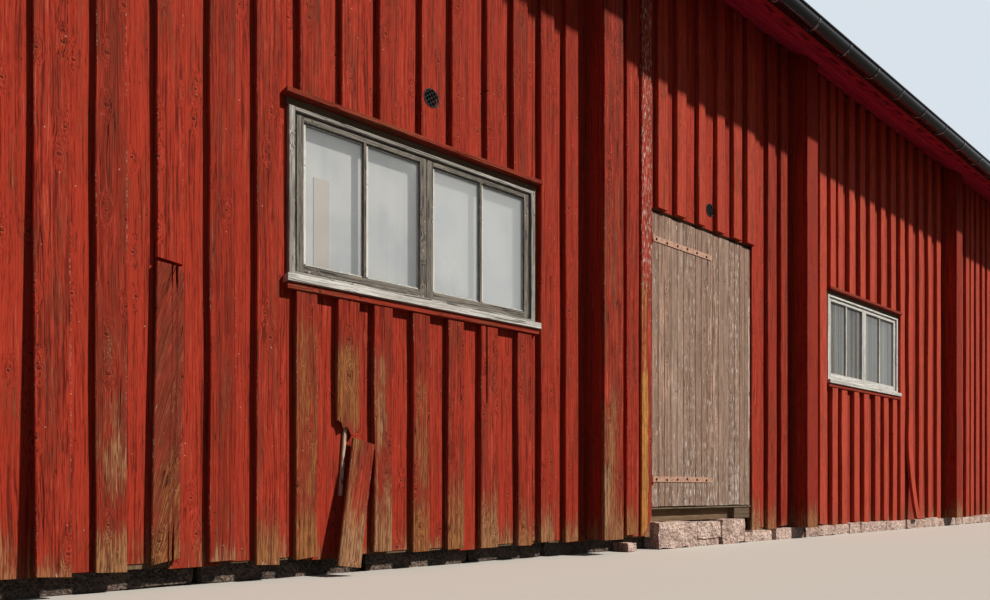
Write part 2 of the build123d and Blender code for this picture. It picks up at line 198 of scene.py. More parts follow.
def pattern(space, acrossMm, alongMm, detail=2.0, output=0):  # noise in blotches of about that size
    scaled = vectors("MULTIPLY", space, (1000 / acrossMm, 1000 / alongMm, 1000 / acrossMm))
    return made(space.tree, "ShaderNodeTexNoise", {"Vector": scaled, "Scale": 1.0, "Detail": detail}, output)


def blend(share, first, second):
    return made(share.tree, "ShaderNodeMix", {0: share, 6: first, 7: second}, 2, data_type="RGBA")


def inks(plan):  # its colours, made linear
    return {name: linear(value) for name, value in plan.items() if isinstance(value, str)}


sawn = {"crackWidth": 0.017, "crackFrom": 0.5, "scrapMm": (7, 34), "tickMm": (3.6, 80), "ticksFrom": 0.62,
        "pitMm": 26}
faluRed = dict(  # sawn pine under thin iron-oxide distemper: dead matt, the grain shows through
    light="#B43B28", high="#D0705A", brighter="#CE5842", dark="#5E1B0F", deep="#8A2A1B", brown="#6C3020",
    stain="#80402C", crack="#2A0B07", bareGrey="#B68C68", bareBrown="#A46A3A", bareDark="#4A2E1E",
    flake="#D8C4B2", roughness=0.88, gloss=0.16, relief=0.0034, holesFrom=0.93, **sawn,
    look=(0.35, 0.0, 0.3))  # age, wear and browning where a piece carries none of its own
faluTrim = dict(faluRed, light="#A63E2C", dark="#6E2014", look=(0.5, 0.05, 0.3))
ochreRed = dict(faluRed, bareBrown="#D29450", bareDark="#8E5A2A", high="#E8968A", flake="#F0E4DA",
                scrapMm=(5, 55))
# hot pink, far brighter than the wall's paint, so that the soffit, which stays in shade, renders as the paint
# looks in shade: painted light
soffitRedBrightForShade = dict(faluRed, light="#FF4A78", high="#FF6890", brighter="#FF6088", dark="#C02A50", deep="#B02850",
                 brown="#A42848", relief=0.0012)
fasciaRed = dict(soffitRedBrightForShade, light="#B4323E", high="#C4505C", brighter="#BC404C", dark="#7A1E28", deep="#862430",
                 brown="#6C2028", look=(0.3, 0.0, 0.3))  # the soffit's paint without the soffit's painted light, for a board that stands in the sun
doorPine = dict(  # the same pine with its paint long gone: fawn boards, silvered, with scraps of white
    light="#F0C8B2", high="#FAE8DC", dark="#5C4236", deep="#94786C", brown="#7E5E4A", stain="#886C5C",
    crack="#3A2A20", bareGrey="#B29C8E", bareBrown="#947460", bareDark="#543C30", flake="#FFFAF4",
    roughness=0.85, gloss=0.2, relief=0.0036, holesFrom=0.96, crackWidth=0.020, crackFrom=0.46,
    scrapMm=(5, 70), tickMm=(7, 160), ticksFrom=0.60, pitMm=40)
windowPine = dict(  # grey pine with white oil paint flaking off it
    light="#EEF0EF", high="#FAFBFA", dark="#B4B3AE", deep="#CFCFCA", brown="#B0AAA0", stain="#B6B4AE",
    crack="#1E1A16", bareGrey="#9A9892", bareBrown="#6C6052", bareDark="#2A2622", flake="#FAFBFA",
    roughness=0.7, gloss=0.3, relief=0.0025, holesFrom=0.84, crackWidth=0.035, crackFrom=0.34,
    scrapMm=(6, 22), tickMm=(6, 75), ticksFrom=0.56, pitMm=55)
sawnPine = dict(  # unpainted frame timber, darkened by age
    light="#8F765A", high="#A0886C", dark="#6B553F", deep="#5C4834", brown="#4C3B2B", stain="#5E5044",
    crack="#241B14", bareGrey="#6F675C", bareBrown="#6A5238", bareDark="#3A3027", flake="#8F8577",
    roughness=0.85, gloss=0.2, relief=0.0015, holesFrom=0.95, **sawn, look=(0.6, 0.2, 0.3))
oldPine = dict(sawnPine, light="#80745E", dark="#4A402C", bareBrown="#7A5A3A", flake="#DAD6CC")
# near-black timber in the rebates behind the casement gaps: partly real dirt, partly painted shade so that
# the gaps read dark
stopPineShadeDark = dict(sawnPine, light="#4A3E30", high="#564836", dark="#2A2118", bareGrey="#3A342C",
                bareBrown="#3A2A1C")

knotNet = (0.085, 0.210)  # metres across and along the grain


def agedWood(name, plan, direction="board"):
    material, tree, shader = newMaterial(name, plan["roughness"], plan["gloss"])
    ink = inks(plan)
    space = patternSpace(tree, direction)
    if direction == "board":
        look, trait = attribute(tree, "look"), attribute(tree, "trait")
    else:
        look, trait = (made(tree, "ShaderNodeCombineXYZ", dict(enumerate(values)))
                       for values in (plan["look"], (0.5, 0.0, 0.0)))
    age, wear, browning = look.parts()
    tint, edge, flaking = trait.parts()

    # knots: one in some cells of a net, the grain flowing round it in rings
    net = vectors("MULTIPLY", space, (1 / knotNet[0], 1 / knotNet[1], 0.0))
    cells = addNode(tree, "ShaderNodeTexVoronoi", {"Vector": net, "Scale": 1.0},
                    voronoi_dimensions="2D").outputs
    centre = vectors("MULTIPLY", Field(cells["Position"]), (*knotNet, 0.0))
    gap = vectors("DISTANCE", vectors("MULTIPLY", space, (1, 1, 0)), centre, "Value")
    picks = Field(cells["Color"]).parts()
    has = picks[0].eased(0.60, 0.62)
    fromRim = gap - (picks[1] * 0.005 + 0.004)
    knot = fromRim.eased(-0.003, 0.0015, 1.0, 0.0) * has
    # a pale ring round each knot: painted highlight for the light that its raised rim catches
    knotRimHighlight = abs(fromRim - 0.003).eased(0.001, 0.004, 1.0, 0.0) * has
    flow = Field(cells["Distance"]).eased(0.0, 0.42, 1.0, 0.0) * has
    wander = pattern(space, 85, 520, output="Color")  # the grain drifts by a centimetre or so
    bent = vectors("ADD", vectors("MULTIPLY", wander, (0.030, 0, 0.030)), space)
    bent = vectors("ADD", bent, made(tree, "ShaderNodeCombineXYZ", {2: flow * 0.030}))

    streaks = pattern(bent, 16, 800)  # early and late wood
    lines = pattern(bent, 6.2, 560)  # growth rings cut lengthwise
    fibres = pattern(bent, 3.4, 52)  # raised fibres, coarser than real so that they show
    grain = streaks * 0.6 + lines * 1.1 + fibres * 0.5  # its mean is 1.1
    raised = fibres + lines
    blotches = pattern(space, 45, 380, 3)
    # short torn checks of the saw
    ticks = pattern(bent, *plan["tickMm"], 1).eased(plan["ticksFrom"], plan["ticksFrom"] + 0.07)
    # drying checks, where the noise crosses its middle
    split = abs(pattern(bent, 17, 1100, 1) - 0.5).eased(0.0, plan["crackWidth"], 1.0, 0.0)
    split = split * pattern(space, 50, 260).eased(plan["crackFrom"], plan["crackFrom"] + 0.1) * age
    pits = addNode(tree, "ShaderNodeTexVoronoi", {"Vector": space, "Scale": 1000 / plan["pitMm"]}).outputs
    pitPick = Field(pits["Color"]).parts()
    pit = Field(pits["Distance"]).eased(0.06, 0.13, 1.0, 0.0)
    hole = pit * pitPick[0].eased(plan["holesFrom"], plan["holesFrom"] + 0.01)
    chip = pit * pitPick[1].eased(0.935, 0.945)  # pale chips

    # paint over the grain
    wave = (grain - 1.1) * (age * 1.05 + 1.0) + 0.55
    colour = blend(wave.eased(0.18, 0.62), ink["dark"], ink["light"])
    colour = blend(wave.eased(0.72, 1.1, 0.0, 0.6), colour, ink["high"])
    colour = blend(knotRimHighlight * 0.22, colour, ink["high"])
    colour = blend(ticks * (age * 0.42 + 0.06), colour, ink["dark"])
    colour = blend(tint * 0.45, colour, ink["deep"])
    colour = blend(tint * -0.6, colour, ink.get("brighter", ink["high"]))
    mottled = pattern(bent, 22, 110, 3).eased(0.36, 0.64, 0.0, 0.4)
    colour = blend(mottled * (age * 0.8 + 0.35), colour, ink["deep"])
    browned = age * 0.26 + (fibres * 0.4 + blotches)
    colour = blend(browned.eased(0.8, 1.2, 0.0, 0.7), colour, ink["brown"])
    stain = (blotches + fibres - 1.0) * 0.9 + wear
    colour = blend(stain.eased(0.02, 0.5, 0.0, 0.75), colour, ink["stain"])

    # bare wood, scraps and chips of paint, knots and cracks
    bare = blend(browning, ink["bareGrey"], ink["bareBrown"])
    bare = blend(raised.eased(0.8, 1.15, 0.85, 0.0), bare, ink["bareDark"])
    ragged = (raised + blotches - 1.5) * 0.9 + wear
    colour = blend(ragged.eased(0.26, 0.74, 0.0, 0.9), colour, bare)
    rubbed = (pattern(space, 3.5, 13, 4) * 1.6 + edge).eased(1.86, 1.98, 0.0, 0.7)
    rubbed = rubbed * (age * pattern(space, 300, 420).eased(0.5, 0.62))
    scraps = pattern(space, *plan["scrapMm"], 4) * 1.1 + flaking
    rubbed = rubbed.most(scraps.eased(1.05, 1.15)).most(chip * 0.7)
    colour = blend(rubbed * 0.85, colour, ink["flake"])
    colour = blend(knot * 0.62, colour, ink["dark"])
    dark = (split * 0.95).most(hole * 0.85)
    colour = blend(dark, colour, ink["crack"])
    height = grain * (age * 0.9 + 0.25) - dark * 0.9 - ticks * 0.25
    height = height + knot * 0.6 - knotRimHighlight * 0.35 + rubbed * 0.25
    return surface(material, shader, colour, height, plan["relief"])


granitePlan = dict(light="#E8CABC", dark="#B49284", grit="#74605A", pale="#F0E2D8")
plinthShadePlan = dict(light="#7A685E", dark="#4A3F3A", grit="#241E1B", pale="#938476")  # much darker than the door's stones: painted shade for the shadow under the boards' feet


def splitGranite(name, plan):  # rough split granite: coarse sparkling grains, pink and grey
    material, tree, shader = newMaterial(name, 0.8, 0.35)
    ink = inks(plan)
    space = patternSpace(tree)
    shade = made(tree, "ShaderNodeTexVoronoi", {"Vector": space, "Scale": 1000 / 7}, "Color").parts()
    colour = blend(pattern(space, 120, 120, 3).eased(0.35, 0.65), ink["dark"], ink["light"])
    colour = blend(shade[0].eased(0.55, 0.95, 0, 0.8), colour, ink["pale"])
    colour = blend(shade[1].eased(0.75, 0.85, 0, 0.75), colour, ink["grit"])
    rough = pattern(space, 30, 30, 5) * 4.0 + pattern(space, 8, 8, 3)
    return surface(material, shader, colour, rough, 0.007)


tilePlan = dict(light="#C2704A", dark="#8E4630", soot="#4A3A33", lichen="#8E8A62")


def firedClay(name, plan):  # pressed and kiln-fired clay: dusty orange-red, with soot and lichen
    material, tree, shader = newMaterial(name, 0.82, 0.3)
    ink = inks(plan)
    space = patternSpace(tree)
    tint = attribute(tree, "trait").parts()[0]
    colour = blend((tint * 0.5 + pattern(space, 90, 90, 4)).eased(0.4, 1.1), ink["dark"], ink["light"])
    sooted = tint * -0.2 + pattern(space, 400, 400, 5)
    colour = blend(sooted.eased(0.38, 0.6, 0, 0.7), colour, ink["soot"])
    colour = blend(pattern(space, 25, 25, 4).eased(0.62, 0.7, 0, 0.7), colour, ink["lichen"])
    return surface(material, shader, colour, pattern(space, 6, 6, 4), 0.002, 0.6)


metalPlans = {
    # rolled steel sheet with a black baked coat: smooth and glossy; its blue tint is a painted reflection of
    # the sky, and its pale blue patches are partly a little dust and partly that painted reflection
    "coatedSteel": dict(coat="#171E29", worn="#4A5E74", amount=0.25, roughness=0.14, gloss=0.8, sizeMm=120),
    # gutter straps, bent from galvanised strip: dull black, with pale patches that are partly zinc showing
    # and partly painted glint
    "galvanisedStrap": dict(coat="#2A2F34", worn="#A8AEB4", amount=0.55, roughness=0.3, gloss=0.7, sizeMm=30),
    # cast vent grille under old black paint: dull, greyed on its raised ribs
    "castIron": dict(coat="#1C1816", worn="#3E3430", amount=0.45, roughness=0.7, gloss=0.25, sizeMm=8),
    # near-black sheet behind the grille: painted shade for the dark hole in the wall behind it
    "ventShadow": dict(coat="#080605", worn="#120E0C", amount=0.4, roughness=0.95, gloss=0.0, sizeMm=12),
    # hand-forged straps under thin fawn paint, rubbed and stained
    "forgedIron": dict(coat="#C49A84", worn="#9A725A", amount=0.45, roughness=0.65, gloss=0.35, sizeMm=14),
    # the pintle knuckles, red from the wall's brush, with white specks
    "paintedPintle": dict(coat="#A4301F", worn="#D8C4B4", amount=0.3, roughness=0.6, gloss=0.35, sizeMm=6),
    # nail heads gone brown with rust
    "rustedNail": dict(coat="#2C1812", worn="#4A281C", amount=0.5, roughness=0.8, gloss=0.3, sizeMm=3),
}


def coatedMetal(name):
    plan = metalPlans[name]
    material, tree, shader = newMaterial(name, plan["roughness"], plan["gloss"])
    patches = pattern(patternSpace(tree), plan["sizeMm"], plan["sizeMm"], 5)
    share = patches.eased(0.72 - plan["amount"] * 0.5, 0.9 - plan["amount"] * 0.5)
    colour = blend(share, linear(plan["coat"]), linear(plan["worn"]))
    return surface(material, shader, colour, patches, 0.001, 0.3)


# clear is the near-white colour of that film, partly dust and partly a painted reflection
glassPlan = dict(clear="#EEF4F8", dusty="#C6CED0", folds="#908A84")
sheetPlan = dict(light="#FAFDFE", dark="#E0E8EE", warm="#F0EEE8", shaded="#8C8C84", folds="#625E56")
creamPlan = dict(light="#EAE0D6", dark="#DACFC2", warm="#E0D2C2", shaded="#DACFC2", folds="#DACFC2")


def foldShare(tree, most=1.0):  # upright folds of what stands behind the panes
    return pattern(patternSpace(tree, "alongZ"), 48, 4000).eased(0.42, 0.62, 0.0, most)


def floatGlass(name, plan):  # drawn window glass: nearly clear; its gloss and a near-white film grow towards a glancing view, the film partly dust and partly a painted reflection
    material, tree, shader = newMaterial(name, 0.05, 0.5)
    ink = inks(plan)
    tint = attribute(tree, "trait").parts()[0]
    colour = blend(tint, ink["clear"], blend(foldShare(tree), ink["dusty"], ink["folds"]))
    glancing = made(tree, "ShaderNodeLayerWeight", {"Blend": 0.35}, "Fresnel")
    tree.links.new(glancing.eased(0.0, 1.0, 0.13, 0.6).socket, shader.inputs["Alpha"])
    return surface(material, shader, colour)


def milkySheet(name, plan):  # ribbed translucent sheet fixed behind the panes: milky, with cloudy dirt
    material, tree, shader = newMaterial(name, 0.45, 0.4)
    ink = inks(plan)
    tint = attribute(tree, "trait").parts()[0]
    colour = blend(pattern(patternSpace(tree), 260, 260).eased(0.32, 0.56), ink["dark"], ink["light"])
    drips = pattern(patternSpace(tree, "alongZ"), 40, 500, 3).eased(0.5, 0.75, 0, 0.4)
    colour = blend(tint, blend(drips, colour, ink["warm"]), ink["shaded"])
    return surface(material, shader, blend(foldShare(tree, 0.75) * tint, colour, ink["folds"]))


floorPlan = {"seen": "#CFCDC8", "bounced": "#5E5A55", "reach": 60}


def concreteFloor(name, plan):  # smooth pale studio floor, which throws little light back on to the wall
    material, tree, shader = newMaterial(name, 0.9, 0.2)
    seen = made(tree, "ShaderNodeLightPath", output="Is Camera Ray")
    return surface(material, shader, blend(seen, linear(plan["bounced"]), linear(plan["seen"])))


materials = {
    "wall": agedWood("faluRedPine", faluRed),
    "ochreWood": agedWood("ochrePine", ochreRed),
    "trim": agedWood("faluRedTrim", faluTrim),
    "trimAlongY": agedWood("faluRedVerge", faluTrim, "alongY"),
    "soffit": agedWood("crimsonSoffitPine", soffitRedBrightForShade),
    "fascia": agedWood("crimsonFasciaPine", fasciaRed, "alongX"),
    "door": agedWood("silveredDoorPine", doorPine),
    "window": agedWood("flakingWhitePine", windowPine),
    "oldTimber": agedWood("greyedPine", oldPine),
    "stopTimberShadeDark": agedWood("shadeDarkStopPine", stopPineShadeDark),
    "timberX": agedWood("sawnPineLong", sawnPine, "alongX"),
    "timberY": agedWood("sawnPineAcross", sawnPine, "alongY"),
    "timberZ": agedWood("sawnPineUpright", sawnPine, "alongZ"),
    "stone": splitGranite("splitGranite", granitePlan),
    "plinthStone": splitGranite("shadeDarkGranite", plinthShadePlan),
    "tile": firedClay("firedClay", tilePlan),
    "gutter": coatedMetal("coatedSteel"),
    "bracket": coatedMetal("galvanisedStrap"),
    "vent": coatedMetal("castIron"),
    "ventDark": coatedMetal("ventShadow"),
    "strap": coatedMetal("forgedIron"),
    "pintle": coatedMetal("paintedPintle"),
    "nail": coatedMetal("rustedNail"),
    "glass": floatGlass("floatGlass", glassPlan),
    "sheet": milkySheet("milkySheet", sheetPlan),
    "cream": milkySheet("creamLath", creamPlan),
    "floor": concreteFloor("concreteFloor", floorPlan),
}
print("materials made")


# the floor, which isn't part of the barn

reach = floorPlan["reach"]
floorMesh = bpy.data.meshes.new("floor")
floorMesh.from_pydata([(-reach, -reach, 0), (reach, -reach, 0), (reach, reach, 0), (-reach, reach, 0)], [],
                      [(0, 1, 2, 3)])
floorMesh.materials.append(materials["floor"])
floor = bpy.data.objects.new("floor", floorMesh)
bpy.context.scene.collection.objects.link(floor)


# pieces, boards and lofts

def startPiece():
    return {"points": [], "faces": [], "grain": [], "look": [], "trait": []}


def finishPiece(parts, name, material="wall", slot="red_boards", replaced=(), body="barn", smooth=False):
    mesh = bpy.data.meshes.new(name)
    mesh.from_pydata(parts["points"], [], parts["faces"], shade_flat=not smooth)
    for label in ("grain", "look", "trait"):
        layer = mesh.attributes.new(label, "FLOAT_VECTOR", "POINT")
        layer.data.foreach_set("vector", [value for row in parts[label] for value in row])
    mesh.materials.append(materials[material])
    piece = bpy.data.objects.new(name, mesh)
    bpy.context.scene.collection.objects.link(piece)
    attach(piece, body)
    if replaced:
        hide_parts(*replaced)


def clamped(value):
    return max(0.0, min(1.0, value))


def endAt(end, share):  # an end is one length, a (left, right) pair or a function of the share across
    if callable(end):
        return end(share)
    if isinstance(end, tuple):
        return end[0] + (end[1] - end[0]) * share
    return end


# (across, out) round a plank, from its back left corner over its face
# a groove is (across, half width, depth)
def plankSection(width, thick, chamfer=0.002, columns=3, grooves=()):
    rim = min(0.008, width * 0.2)
    inner = [rim + (width - 2 * rim) * (i + 1) / (columns + 1) for i in range(columns)]
    for groove, half, depth in grooves:
        inner = [u for u in inner if abs(u - groove) > 2 * half]
    face = [(u, thick) for u in inner]
    for groove, half, depth in grooves:
        face += [(groove - half, thick), (groove, thick - depth), (groove + half, thick)]
    near = [(0, 0), (0, thick - chamfer), (chamfer, thick), (rim, thick)]
    return near + sorted(face) + [(width - u, d) for u, d in reversed(near)]


# axes run across, along and out of the face; look and flaking may be functions of length and share across
def addPlank(parts, place, axes, section, bottom, top, look, seed=0, stations=16, wobble=0.0, bow=0.0,
             flaking=0.0, tint=None, edges=True, opened=None, lean=0.0, push=None):
    across, along, out = axes
    rng = random.Random(seed)
    shift = [rng.uniform(0, 40) for axis in range(3)]
    tint = rng.random() if tint is None else tint
    width = max(u for u, d in section)
    thick = max(d for u, d in section)
    rim = min(0.008, width * 0.2)
    start = len(parts["points"])
    count = len(section)
    for k in range(stations + 1):
        for u, d in section:
            share = u / width
            length = endAt(bottom, share) * (1 - k / stations) + endAt(top, share) * k / stations
            sway = noise.noise(Vector((shift[0] + 7 * round(share), length * 1.6, 0))) * wobble
            lift = (noise.noise(Vector((shift[1], length * 1.1, share * 0.8))) * 0.5 + 0.5) * bow
            if d == thick:
                lift += noise.noise(Vector((shift[2] + share * 2.5, length * 1.3, 5))) * bow * 0.35
            deep = d + (push(length) if push else 0.0)
            if opened and u not in (0, width) and d < thick - 0.0035:
                deep += (thick - d) * (1 - opened(length))  # a crack that closes towards its ends
            parts["points"].append(place + across * (u + sway) + along * length + out * (deep + lift))
            parts["grain"].append((u - lean * length + shift[0], length + shift[1], d + shift[2]))
            parts["look"].append(look(length, share) if callable(look) else look)
            isEdge = edges and d > 0 and (u < rim * 0.9 or u > width - rim * 0.9)
            leaf = flaking(length, share) if callable(flaking) else flaking
            parts["trait"].append((tint, 1.0 if isEdge else 0.0, leaf))
    handed = across.cross(along).dot(out) > 0
    faces = []
    for k in range(stations):
        for i in range(count):
            j = (i + 1) % count
            a, b = start + k * count, start + (k + 1) * count
            faces.append((a + i, a + j, b + j, b + i))
    faces.append(tuple(start + i for i in reversed(range(count))))
    faces.append(tuple(start + stations * count + i for i in range(count)))
    parts["faces"] += faces if handed else [tuple(reversed(face)) for face in faces]


def tilted(*axes):
    return [Vector(axis).normalized() for axis in axes]


def fillTraits(parts, tint=0.5):  # the same material values for every point added since the last call
    for point in parts["points"][len(parts["grain"]):]:
        parts["grain"].append(tuple(point))
        parts["look"].append((0.5, 0.0, 0.3))
        parts["trait"].append((tint, 0.0, 0.0))


def addLoft(parts, rings, caps=True):  # joins rings of points in order, and caps both ends of a tube
    count = len(rings[0])
    start = len(parts["points"])
    for ring in rings:
        parts["points"] += [Vector(point) for point in ring]
    for k in range(len(rings) - 1):
        for n in range(count):
            m = (n + 1) % count
            a, b = start + k * count, start + (k + 1) * count
            parts["faces"].append((a + n, a + m, b + m, b + n))
    if caps:
        last = start + (len(rings) - 1) * count
        parts["faces"].append(tuple(start + n for n in reversed(range(count))))
        parts["faces"].append(tuple(last + n for n in range(count)))


def circle(centre, side, other, radius, sides):
    angles = [2 * math.pi * n / sides for n in range(sides)]
    return [centre + (side * math.cos(a) + other * math.sin(a)) * radius for a in angles]


# walls: thin under-boards with thicker boards nailed over their joints

wallHalf = 4.0  # from the middle to the long walls' faces
gableHalf = 7.862
roofReach = 8.177
walls = {
    "front": {"origin": Vector((0, -wallHalf, 0)), "run": right, "out": -back},
    "back": {"origin": Vector((0, wallHalf, 0)), "run": right, "out": back},
    "left": {"origin": Vector((-gableHalf, 0, 0)), "run": back, "out": -right},
    "right": {"origin": Vector((gableHalf, 0, 0)), "run": back, "out": right},
}
cladding = {
    "underBack": 0.001,
    "underThick": 0.004,
    "overBack": 0.0055,
    "overThick": (0.029, 0.035),
    "overWidth": (0.098, 0.120),
    "gap": 0.002,
    "foot": (0.078, 0.112),
    "footWear": 0.26,  # weathering starts about this high
    "base": 0.09,
}
slope = math.radians(34)
eaveTop = 4.165  # underside of the soffit at the wall's face
deckTop = 4.2796  # underside of the roof deck at the wall's face


def onWall(wall, along, out=0.0, height=0.0):
    side = walls[wall]
    return side["origin"] + side["run"] * along + up * height + side["out"] * out


def facing(wall):  # across, up and out
    return walls[wall]["run"], up, walls[wall]["out"]


def longTop(along, out):
    return eaveTop - out * math.tan(slope) - 0.004


def gableTop(along, out):
    return deckTop + (wallHalf - abs(along)) * math.tan(slope) - 0.006


# paint that wears off towards the ground; a patch is (low, high, left, right, wear, browning)
def footLook(age, browning, start, strength=1.0, patches=()):
    def look(length, share):
        worn = clamped((start - length) / max(start - 0.06, 0.05)) * strength
        brown = browning
        for low, high, left, far, wear, hue in patches:
            fade = min((length - low) / 0.12 + 0.5, (high - length) / 0.12 + 0.5, 1.0)
            side = min((share - left) / 0.15 + 0.5, (far - share) / 0.15 + 0.5, 1.0)
            amount = max(0.0, fade) * max(0.0, side) * wear
            if amount > worn:
                worn, brown = amount, hue
        return (age, worn, brown)
    return look


def footSpecks(length, share):  # pale scraps of paint and grit at the very foot
    return 0.40 * max(0.0, 1 - (length - 0.08) / 0.12)


def fillPanel(parts, wall, start, end, bottom, top, lefts, rng, notes, brighter=0.0):
    # boards between two places along a wall, with notes on some of them by their left edge
    plan, axes, isFront, atFoot = cladding, facing(wall), wall == "front", bottom < 0.2
    boards = []
    for left in lefts:
        width = notes.get(left, {}).get("width", rng.uniform(*plan["overWidth"]))
        boards.append((left, min(width, end - left - 0.003)))
    joints = [start] + [left + width / 2 for left, width in boards if left > start + 0.02] + [end]
    for low, high in zip(joints, joints[1:]):
        section = plankSection(high - low - plan["gap"], plan["underThick"], 0.001, 1)
        age = rng.uniform(0.12, 0.4)
        base = rng.uniform(*plan["foot"]) if atFoot else bottom
        look = footLook(age, rng.uniform(0.1, 0.5), 0.2 + rng.uniform(-0.05, 0.08), rng.uniform(0.3, 0.75))
        addPlank(parts, onWall(wall, low, plan["underBack"]), axes, section, base,
                 lambda share: top(low + share * (high - low), 0.007), look, seed=rng.random(), stations=14,
                 bow=0.0015, tint=rng.uniform(0, 0.45))
    for left, width in boards:
        note = notes.get(left, {})
        if note.get("skip"):
            continue
        thick = note.get("thick", rng.uniform(*plan["overThick"]))
        section = plankSection(width, thick, 0.003, 4 if isFront else 2, note.get("grooves", ()))
        base = rng.uniform(*plan["foot"]) if atFoot else bottom
        age = note.get("age", rng.uniform(0.35, 0.95) * (1 - brighter * 0.45))
        look = footLook(age, note.get("browning", rng.uniform(0.0, 0.7)),
                        note.get("footWear", plan["footWear"] + rng.uniform(-0.1, 0.18)),
                        note.get("strength", rng.uniform(0.8, 1.15) * (1 - 0.7 * brighter)),
                        note.get("patches", ()))
        base = note.get("bottom", (base, base + rng.uniform(-0.012, 0.012)) if atFoot else base)
        addPlank(parts, onWall(wall, left, plan["overBack"]), axes, section, base,
                 lambda share: top(left + share * width, 0.041), look, seed=rng.random(),
                 stations=36 if isFront else 16, wobble=note.get("wobble", 0.005), bow=0.004,
                 flaking=footSpecks, tint=note.get("tint", rng.uniform(-0.1, 1 - brighter) - brighter),
                 opened=note.get("opened"), push=note.get("push"))


def spread(rng, start, end):  # left edges of boards at an uneven pitch, with both ends covered
    count = max(1, round((end - start - 0.11) / 0.218))
    pitch = (end - start - 0.11) / count
    inside = [start + i * pitch + rng.uniform(-0.012, 0.012) for i in range(1, count)]
    return [start] + inside + [start + count * pitch]


windowPlan = {
    "width": 1.545,
    "height": 0.78,
    "trimBelow": 0.066,  # sill and the red board under it
    "trimAbove": 0.066,  # drip board
}
longWindows = [(-3.830, 1.395), (1.384, 1.420)]  # left and base
gableWindows = [(-0.7725, 1.395)]
windowSpots = {"front": longWindows, "back": longWindows, "left": gableWindows, "right": gableWindows}


# brighter makes a bay's boards lighter in tone, less aged and less worn
def fillBay(wall, start, end, seed, window=None, plans=None, brighter=0.0, parts=None):
    parts = parts or startPiece()
    plans = plans or {}
    rng = random.Random(seed)
    notes = plans.get("notes", {}) if wall == "front" else {}
    base, top = cladding["base"], longTop if wall in ("front", "back") else gableTop

    def panel(low, high, bottom, head, lefts):
        fillPanel(parts, wall, low, high, bottom, head, lefts, rng, notes, brighter)

    if window is None:
        panel(start, end, base, top, plans.get("full") or spread(rng, start, end))
        return parts
    left, sill = window
    far = left + windowPlan["width"]
    panel(start, left, base, top, plans.get("before") or spread(rng, start, left - 0.03))
    panel(far, end, base, top, plans.get("after") or spread(rng, far + 0.03, end))
    across = spread(rng, left + 0.03, far - 0.03)
    head = sill + windowPlan["height"] + windowPlan["trimAbove"]
    panel(left, far, head, top, plans.get("above") or across)
    panel(left, far, base, lambda along, out: sill - windowPlan["trimBelow"], plans.get("below") or across)
    return parts


def tornEnd(share):  # where a board broke off, in splinters
    return 0.705 + 0.035 * math.sin(21 * share) + (0.04 if share < 0.25 else 0.0) - 0.03 * share


def crackShare(z, low, high):  # how far open a crack is at that height
    return clamped(min((z - low) / 0.08 + 0.5, (high - z) / 0.12 + 0.5))


windowBay1 = {
    "before": [-5.055, -4.835, -4.628, -4.404, -4.191, -3.985],
    "above": [-3.78, -3.564, -3.355, -3.106, -2.905, -2.66, -2.466],
    "below": [-3.80, -3.586, -3.388, -3.156, -2.931, -2.704, -2.427],
    "after": [-2.245, -2.035],
    "notes": {  # what each board shows, by its left edge
        -5.055: {"age": 0.6},
        -4.835: {"age": 0.75, "width": 0.118, "browning": 0.5, "strength": 0.7, "tint": 0.3,
                 "push": lambda z: 0.055 * max(0.0, 1 - z / 1.9) ** 1.4},
        -4.628: {"age": 1.0, "width": 0.112, "browning": 0.5, "strength": 1.1, "footWear": 0.34,
                 "patches": ((0.40, 0.66, -0.1, 1.1, 0.46, 0.3), (0.66, 1.05, 0.3, 1.1, 0.24, 0.3))},
        -4.404: {"age": 0.5, "width": 0.104, "bottom": (1.36, 1.345), "tint": 0.2},
        -4.191: {"age": 0.7, "width": 0.112},
        -3.985: {"age": 0.7, "width": 0.105, "browning": 0.8},
        -3.80: {"age": 0.9, "width": 0.108, "browning": 0.9, "strength": 0.9, "footWear": 0.5,
                "patches": ((0.35, 1.2, -0.1, 1.1, 0.42, 1.0),)},
        -3.586: {"age": 0.9, "width": 0.117, "bottom": tornEnd, "browning": 1.0,
                 "patches": ((0.7, 1.1, -0.1, 1.1, 0.6, 0.95),)},
        -3.388: {"age": 0.9, "width": 0.105, "browning": 0.3, "strength": 0.9, "footWear": 0.6,
                 "patches": ((0.6, 1.1, -0.1, 0.7, 0.44, 0.4),)},
        -3.156: {"age": 0.9, "width": 0.105, "browning": 0.9, "strength": 0.9, "footWear": 0.5,
                 "patches": ((0.4, 1.0, 0.1, 0.9, 0.42, 0.9),)},
        -2.931: {"age": 0.9, "width": 0.11, "browning": 0.8, "strength": 0.95, "footWear": 0.6},
        -2.704: {"age": 0.8, "width": 0.124, "browning": 0.4, "strength": 0.9, "footWear": 0.55,
                 "grooves": ((0.040, 0.006, 0.026),), "opened": lambda z: crackShare(z, 0.92, 1.4)},
        -2.427: {"age": 0.8, "width": 0.105, "browning": 0.7, "strength": 0.8},
        -3.106: {"age": 0.5, "width": 0.126, "thick": 0.031},
        -2.245: {"age": 0.5, "width": 0.11, "browning": 0.3},
        -2.035: {"age": 0.3, "width": 0.11},
    },
}
doorBay = {
    "leftOfDoor": [-1.46, -1.284],
    "over": [-1.122, -0.904, -0.638, -0.397, -0.173, 0.013],
    "rightOfDoor": [0.111, 0.33, 0.537],
    "notes": {
        -1.46: {"age": 0.7, "width": 0.115, "browning": 0.8, "strength": 1.0},
        -1.284: {"width": 0.108, "skip": True},
        0.111: {"age": 0.3, "width": 0.120, "thick": 0.013},
        -0.638: {"width": 0.085},
    },
}
